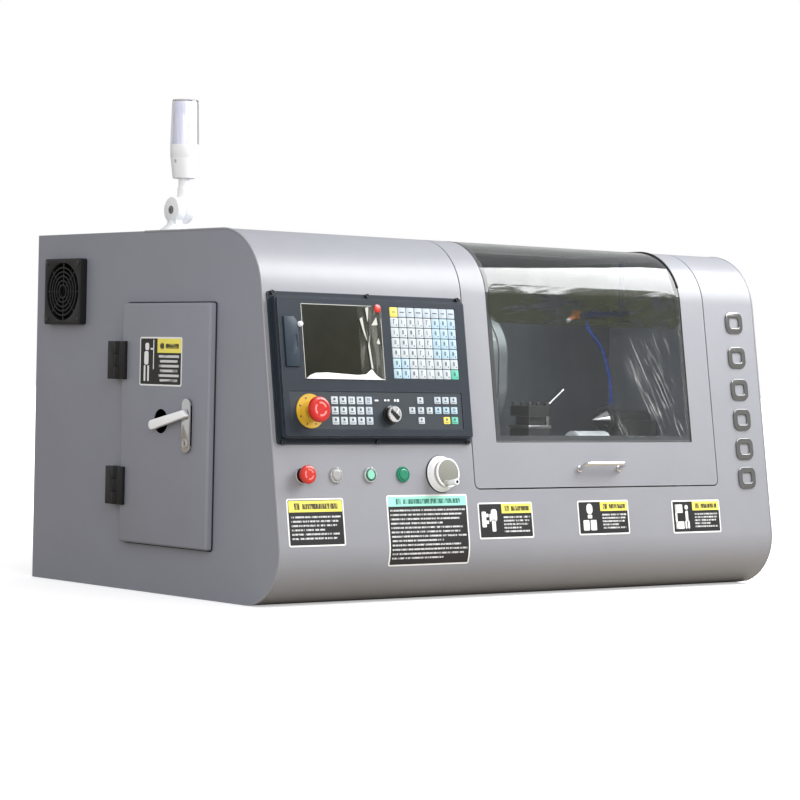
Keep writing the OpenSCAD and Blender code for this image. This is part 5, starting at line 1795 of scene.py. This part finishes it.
    def override_switch(self) -> None:
        """Turns the override knob with its silver ring and white pointer."""
        x, s = self.override
        place = SHAPE.face(x, s, self.face_w - 1)
        skirt = turned([(16.5, 0), (16.5, 1.6), (15.8, 2.6), (14.2, 3), (13.6, 3), (13, 11),
                        (12.6, 12)], 64)
        grip = soften(block((23, 8.4, 8), (0, 0, 10.2)), 1.6, 3, 40)
        shaft = turned([(3, -16), (3, 1)], 20)
        lay(joined([skirt, grip, shaft]), "override_body", "gloss_black", "override",
            place @ turned_to("Z", -45), ("override_knob",), 40)
        ring = turned([(14.2, 9.2), (14.2, 12.6), (13.6, 13.4), (10.9, 13.4), (10.6, 12.4)], 64)
        lay(ring, "override_ring", "bright", "override", place)
        pointer = moved(soften(plate(9, 1.8, 0.6, 0.5), 0.15), 7, 0, 14.1)
        lay(pointer, "override_pointer", "white", "override", place @ turned_to("Z", 45))
        marks = [bar(x - 29, -s + 25, 8, 2.6), bar(x - 9.5, -s + 25.4, 4.5, 3.2),
                 bar(x - 2.5, -s + 25.4, 4.5, 3.2), bar(x + 12, -s + 25.4, 3.6, 4.4),
                 bar(x + 18.5, -s + 25.4, 5.2, 4.4)]
        lay(joined(marks), "override_marks", "white", place=self.face(self.pad_w + self.pad_t))

    def build(self) -> None:
        """Builds the panel."""
        self.housing()
        self.screen_film()
        self.membranes()
        self.flap_cover()
        self.stop_mushroom()
        self.override_switch()


@dataclass
class PushButtons:
    """Row of four push buttons in chrome bezels."""

    x: float = -543.0
    pitch: float = 73.7
    s: float = 422.3
    bezel_r: float = 14.0
    cap_r: float = 10.3

    def place(self, i: int, w: float = 0.0) -> Matrix:
        """Where a button stands."""
        return SHAPE.face(self.x + i * self.pitch, self.s, w)

    def build(self) -> None:
        """Turns the bezels and caps."""
        r = self.bezel_r
        ring = turned([(r - 3.3, -22), (r - 3.3, -8), (r + 1, -8), (r + 1, -2.5), (r, -2.5),
                       (r, 0.6), (r - 0.3, 2.8), (r - 1.3, 4), (r - 2.8, 4), (r - 3.4, 3.2),
                       (r - 3.4, 0.6)], 56)
        twin = ring.copy()
        twin.data = ring.data.copy()
        bpy.context.scene.collection.objects.link(twin)
        lay(copies(ring, [self.place(i) for i in range(3)]), "bezels", "bright",
            stands_for=("button_bezels",), smooth=40)
        lay(twin, "cycle_bezel", "green", place=self.place(3), smooth=40)
        head = turned([(8, -16), (8, 9), (9.4, 9.6), (12.2, 11.4), (14.6, 13.6), (15.8, 16),
                       (16, 19.4), (15.4, 21.4), (13.8, 22.7), (11, 23), (2, 23)], 56)
        lay(head, "stop_head", "orange_red", "stop", self.place(0), ("stop_button",), 45)
        lay(arcs(7, 9.4, 22.95, 3), "stop_arcs", "pale_red", "stop", self.place(0), smooth=40)
        collar = turned([(12.8, 3.6), (12.8, 4.8), (10.2, 4.9), (10, 3.6)], 48)
        lay(collar, "stop_collar", "gloss_black", place=self.place(0))
        for i, (node, body, finish) in enumerate((("reset_button", "reset", "silver"),
                                                  ("start_button", "start", "mint"),
                                                  ("cycle_button", "cycle", "green")), 1):
            c = self.cap_r
            cap = turned([(8, -18), (8, 2), (c, 2), (c, 3.6), (c - 0.5, 4.5), (c - 2, 5.0),
                          (c - 5, 4.9), (2, 4.8)], 48)
            lay(cap, node + "_cap", finish, body, self.place(i), (node,), 45)
            if finish == "mint":
                rim = turned([(c + 0.25, 3.9), (c + 0.25, 4.7), (c - 2.4, 5.25), (c - 2.6, 4.6)],
                             48)
                lay(rim, "start_rim", "dark_green", body, self.place(i))


@dataclass
class Handwheel:
    """Electronic handwheel with its crank."""

    x: float = -236.0
    s: float = 422.3
    r: float = 33.0
    dial_r: float = 26.0
    ridges: int = 144
    crank: tuple[float, float] = (19.5, math.radians(-108))

    def build(self) -> None:
        """Turns the base, the ridged neck, the cap and the crank."""
        place = SHAPE.face(self.x, self.s)
        r, d = self.r, self.dial_r
        base = turned([(r - 8.5, -30), (r - 8.5, 0), (r - 1.6, 0), (r - 1.2, 3), (r - 2, 3.4),
                       (r - 3.4, 8), (r - 5.2, 11.4), (r - 7.2, 12), (14, 12)], 72)
        lay(base, "wheel_base", "white", place=place, stands_for=("handwheel_body",), smooth=45)
        edge = turned([(r, 0), (r, 1.6), (r - 0.8, 2.4), (r - 1.8, 2.6)], 72)
        lay(edge, "wheel_edge", "gloss_black", place=place)
        neck = fluted(turned([(24.5, 12.4), (24.5, 19.2)], self.ridges), 360 / self.ridges, 0.972)
        shaft = turned([(4, -18), (4, 13)], 24)
        lay(joined([neck, shaft]), "dial_neck", "beige", "dial", place, ("handwheel_dial",), 20)
        rim = turned([(d - 0.8, 19), (d, 19.6), (d, 21.4), (d - 0.6, 22.2), (d - 1.4, 22.4),
                      (d - 2.2, 22.4), (d - 2.9, 21.9)], 72)
        lay(rim, "dial_rim", "white", "dial", place, smooth=45)
        face = turned([(d - 2.9, 21), (d - 2.9, 21.9), (d - 3.3, 22.0), (3, 22.0)], 72)
        lay(face, "dial_face", "dial_grey", "dial", place)
        x, y = self.crank[0] * math.cos(self.crank[1]), self.crank[0] * math.sin(self.crank[1])
        foot = moved(turned([(6, 21.5), (6, 22.6), (5.2, 24.4), (4.6, 27), (4.5, 28.3),
                             (1.8, 28.4)], 32), x, y)
        lay(foot, "crank_foot", "beige", "dial", place, smooth=45)
        grip = moved(turned([(1.5, 24), (1.5, 28.8), (4.2, 28.8), (4.7, 29.6), (5.0, 38),
                             (5.5, 49), (5.1, 50.6), (3.9, 51.2), (3.2, 51.2), (3.1, 50.4),
                             (1, 50.4)], 32), x, y)
        lay(grip, "crank_grip", "white", "crank", place, ("handwheel_knob",), 45)
        screw = moved(turned([(2.9, 50.2), (2.9, 51.0), (2.3, 51.3), (1.3, 51.3), (1.2, 50.6)],
                             20), x, y)
        lay(screw, "crank_screw", "gloss_black", "crank", place)


# --------------------------------------------------------------------------- signal lamp
@dataclass
class SignalLamp:
    """Folding signal lamp on the roof."""

    x: float = -538.0
    y: float = 3.0
    roof: float = 640.0
    knuckle_z: float = 679.0
    knuckle_r: float = 23.0
    knuckle_t: float = 17.4
    head_z: float = 736.0
    lens_z: float = 796.0
    ribs: int = 96

    def drum(self, x0: float, x1: float) -> bpy.types.Object:
        """One knuckle disc lying along X, with its rims rounded.

        Args:
            x0: Its left face.
            x1: Its right face.

        Returns:
            The disc at the knuckle's height.
        """
        r = self.knuckle_r
        disc = turned([(r - 1.6, x0), (r - 0.5, x0 + 0.5), (r, x0 + 1.6), (r, x1 - 1.6),
                       (r - 0.5, x1 - 0.5), (r - 1.6, x1)], 56)
        return moved(disc, z=self.knuckle_z, turn=ALONG_X)

    def foot(self) -> None:
        """Builds the foot with its fixed knuckle and the cross screw in it."""
        x0 = -26.4
        x1 = x0 + self.knuckle_t
        middle = (x0 + x1) / 2
        base = moved(turned([(27, 0), (27, 2), (25.8, 3.6), (24.6, 4.6), (22, 6.4), (17, 10.6),
                             (12.5, 15.6), (10, 20)], 56), middle, 0, self.roof)
        neck = soften(block((self.knuckle_t - 1.6, 28, 36), (middle, 0, self.roof + 21)), 2.5, 3)
        pin = moved(turned([(5, x1 - 2), (5, x1 + 10)], 24), z=self.knuckle_z, turn=ALONG_X)
        place = at(self.x, self.y, 0)
        lay(joined([base, neck, self.drum(x0, x1), pin]), "lamp_foot_shown", "shaded_lamp_white",
            place=place, stands_for=("lamp_foot",), smooth=40)
        ring = moved(turned([(7.4, 0), (7.4, 0.5), (6.6, 0.7), (6.2, 0.1)], 32), x0, 0,
                     self.knuckle_z, turned_to("Y", -90))
        screw = moved(turned([(4.6, 0), (4.4, 1.0), (3.0, 1.6), (1.2, 1.7)], 28), x0, 0,
                      self.knuckle_z, turned_to("Y", -90))
        lay(joined([ring, screw]), "knuckle_screw", "grey_plastic", place=place)
        cross = joined([block((0.5, 5.2, 1.1), (x0 - 1.65, 0, self.knuckle_z)),
                        block((0.5, 1.1, 5.2), (x0 - 1.65, 0, self.knuckle_z))])
        lay(cross, "knuckle_cross", "gloss_black", place=place)

    def stem(self) -> None:
        """Builds the moving knuckle, the sleeve and the pole."""
        z = self.knuckle_z
        sleeve = moved(turned([(11, 14), (11, 39), (10.4, 41), (9.5, 41.2), (9.5, 57)], 40), z=z)
        fillet = moved(turned([(14.4, 17), (12.6, 21.4), (11.2, 25)], 40), z=z)
        lay(joined([self.drum(-8.7, 8.7), sleeve, fillet]), "lamp_stem_shown", "shaded_lamp_white", "lamp",
            at(self.x, self.y, 0), ("lamp_stem",), 40)

    def head(self) -> None:
        """Turns the head, its lens and the diffuser inside."""
        place = at(self.x, self.y, 0)
        head = moved(turned([(18.6, 0), (19.8, 0.5), (20.4, 2), (24.6, 36), (24.6, 37.2),
                             (25.1, 38), (25.5, 58.8), (25.2, 60), (22, 60)], 64), z=self.head_z)
        lay(head, "lamp_head_shown", "shaded_lamp_white", "lamp", place, ("lamp_head",), 35)
        spot = moved(turned([(3.2, 0), (3.2, 0.3), (2.8, 0.4), (0.8, 0.4)], 24), -23.2, -5.4,
                     self.head_z + 30, turned_to("Y", -97))
        lay(spot, "lamp_spot", "key_grey", "lamp", place)
        lens = turned([(25.5, 0), (25.4, 12), (24.9, 30), (24.2, 55), (23.6, 74), (23.3, 78),
                       (22.4, 79.6), (20.8, 80), (20.8, 78), (21.6, 74), (22.5, 50),
                       (23.5, 2), (23.5, 0.1)], 64)
        lay(moved(lens, z=self.lens_z), "lamp_lens_shown", "lens", "lamp", place,
            ("lamp_lens",), 35)
        core = turned([(21.6, 0.3), (21.2, 30), (20.2, 73), (19.4, 75.6), (17.4, 76.6)],
                      self.ribs)
        fluted(core, 360 / self.ribs, 0.975)
        lay(moved(core, z=self.lens_z), "lamp_diffuser", "diffuser", "lamp", place, smooth=20)

    def build(self) -> None:
        """Builds the lamp."""
        self.foot()
        self.stem()
        self.head()


# --------------------------------------------------------------------------- machine inside
@dataclass
class Lathe:
    """Bed, headstock, chuck, slides, milling head and tailstock inside the cabinet."""

    finishes: dict[str, str] = field(default_factory=lambda: {
        "bed": "iron", "headstock": "iron", "spindle": "steel", "chuck": "steel",
        "jaw_1": "dark_steel", "jaw_2": "dark_steel", "jaw_3": "dark_steel",
        "spindle_motor": "motor", "motor_pulley": "aluminium", "drive_belt": "belt",
        "saddle": "iron", "cross_slide": "iron", "lead_screw": "ground",
        "tool_post": "dark_steel", "post_lever": "chrome", "mill_motor": "motor_shell",
        "mill_collet": "steel", "tailstock": "iron", "tail_quill": "ground",
        "tail_centre": "chrome", "chuck_guard": "guard"})
    post: Triple = (162.0, -157.0, 280.0)

    def tool_post_details(self) -> None:
        """Adds the ground waist plate and the clamping screws to the tool post."""
        x, y, z = self.post
        waist = soften(block((58.4, 58.4, 6), (0, 0, 20)), 0.8)
        lay(waist, "post_waist", "ground", "tool_post", at(x, y, z))
        places = [at(x + a, y + b, z + 59.9) for a in (-22, 0, 22) for b in (-22, 22)
                  if (a, b) != (0, 0)]
        screw = turned([(4.2, 0), (4.2, 7), (3.8, 7.6), (2.4, 7.6), (2.2, 5)], 12)
        lay(copies(screw, places), "post_screws_top", "dark_steel", "tool_post")

    def build(self) -> None:
        """Shows every part of the machine."""
        for node, finish in self.finishes.items():
            smooth_copy(node, finish, 30)
        self.tool_post_details()


def main() -> None:
    """Builds the machine in order."""
    logging.basicConfig(level=logging.INFO, format="%(message)s")
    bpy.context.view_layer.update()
    studio = Studio()
    studio.camera()
    lines = CoolantLines()
    lines.air_tube()
    studio.build()
    for part in (Cabinet(), Hood(), SideDoor(), Fan(), ControlPanel(), PushButtons(),
                 Handwheel(), SignalLamp(), Lathe(), lines):
        LOG.info("--- %s", type(part).__name__)
        part.build()


if __name__ == "__main__":
    main()
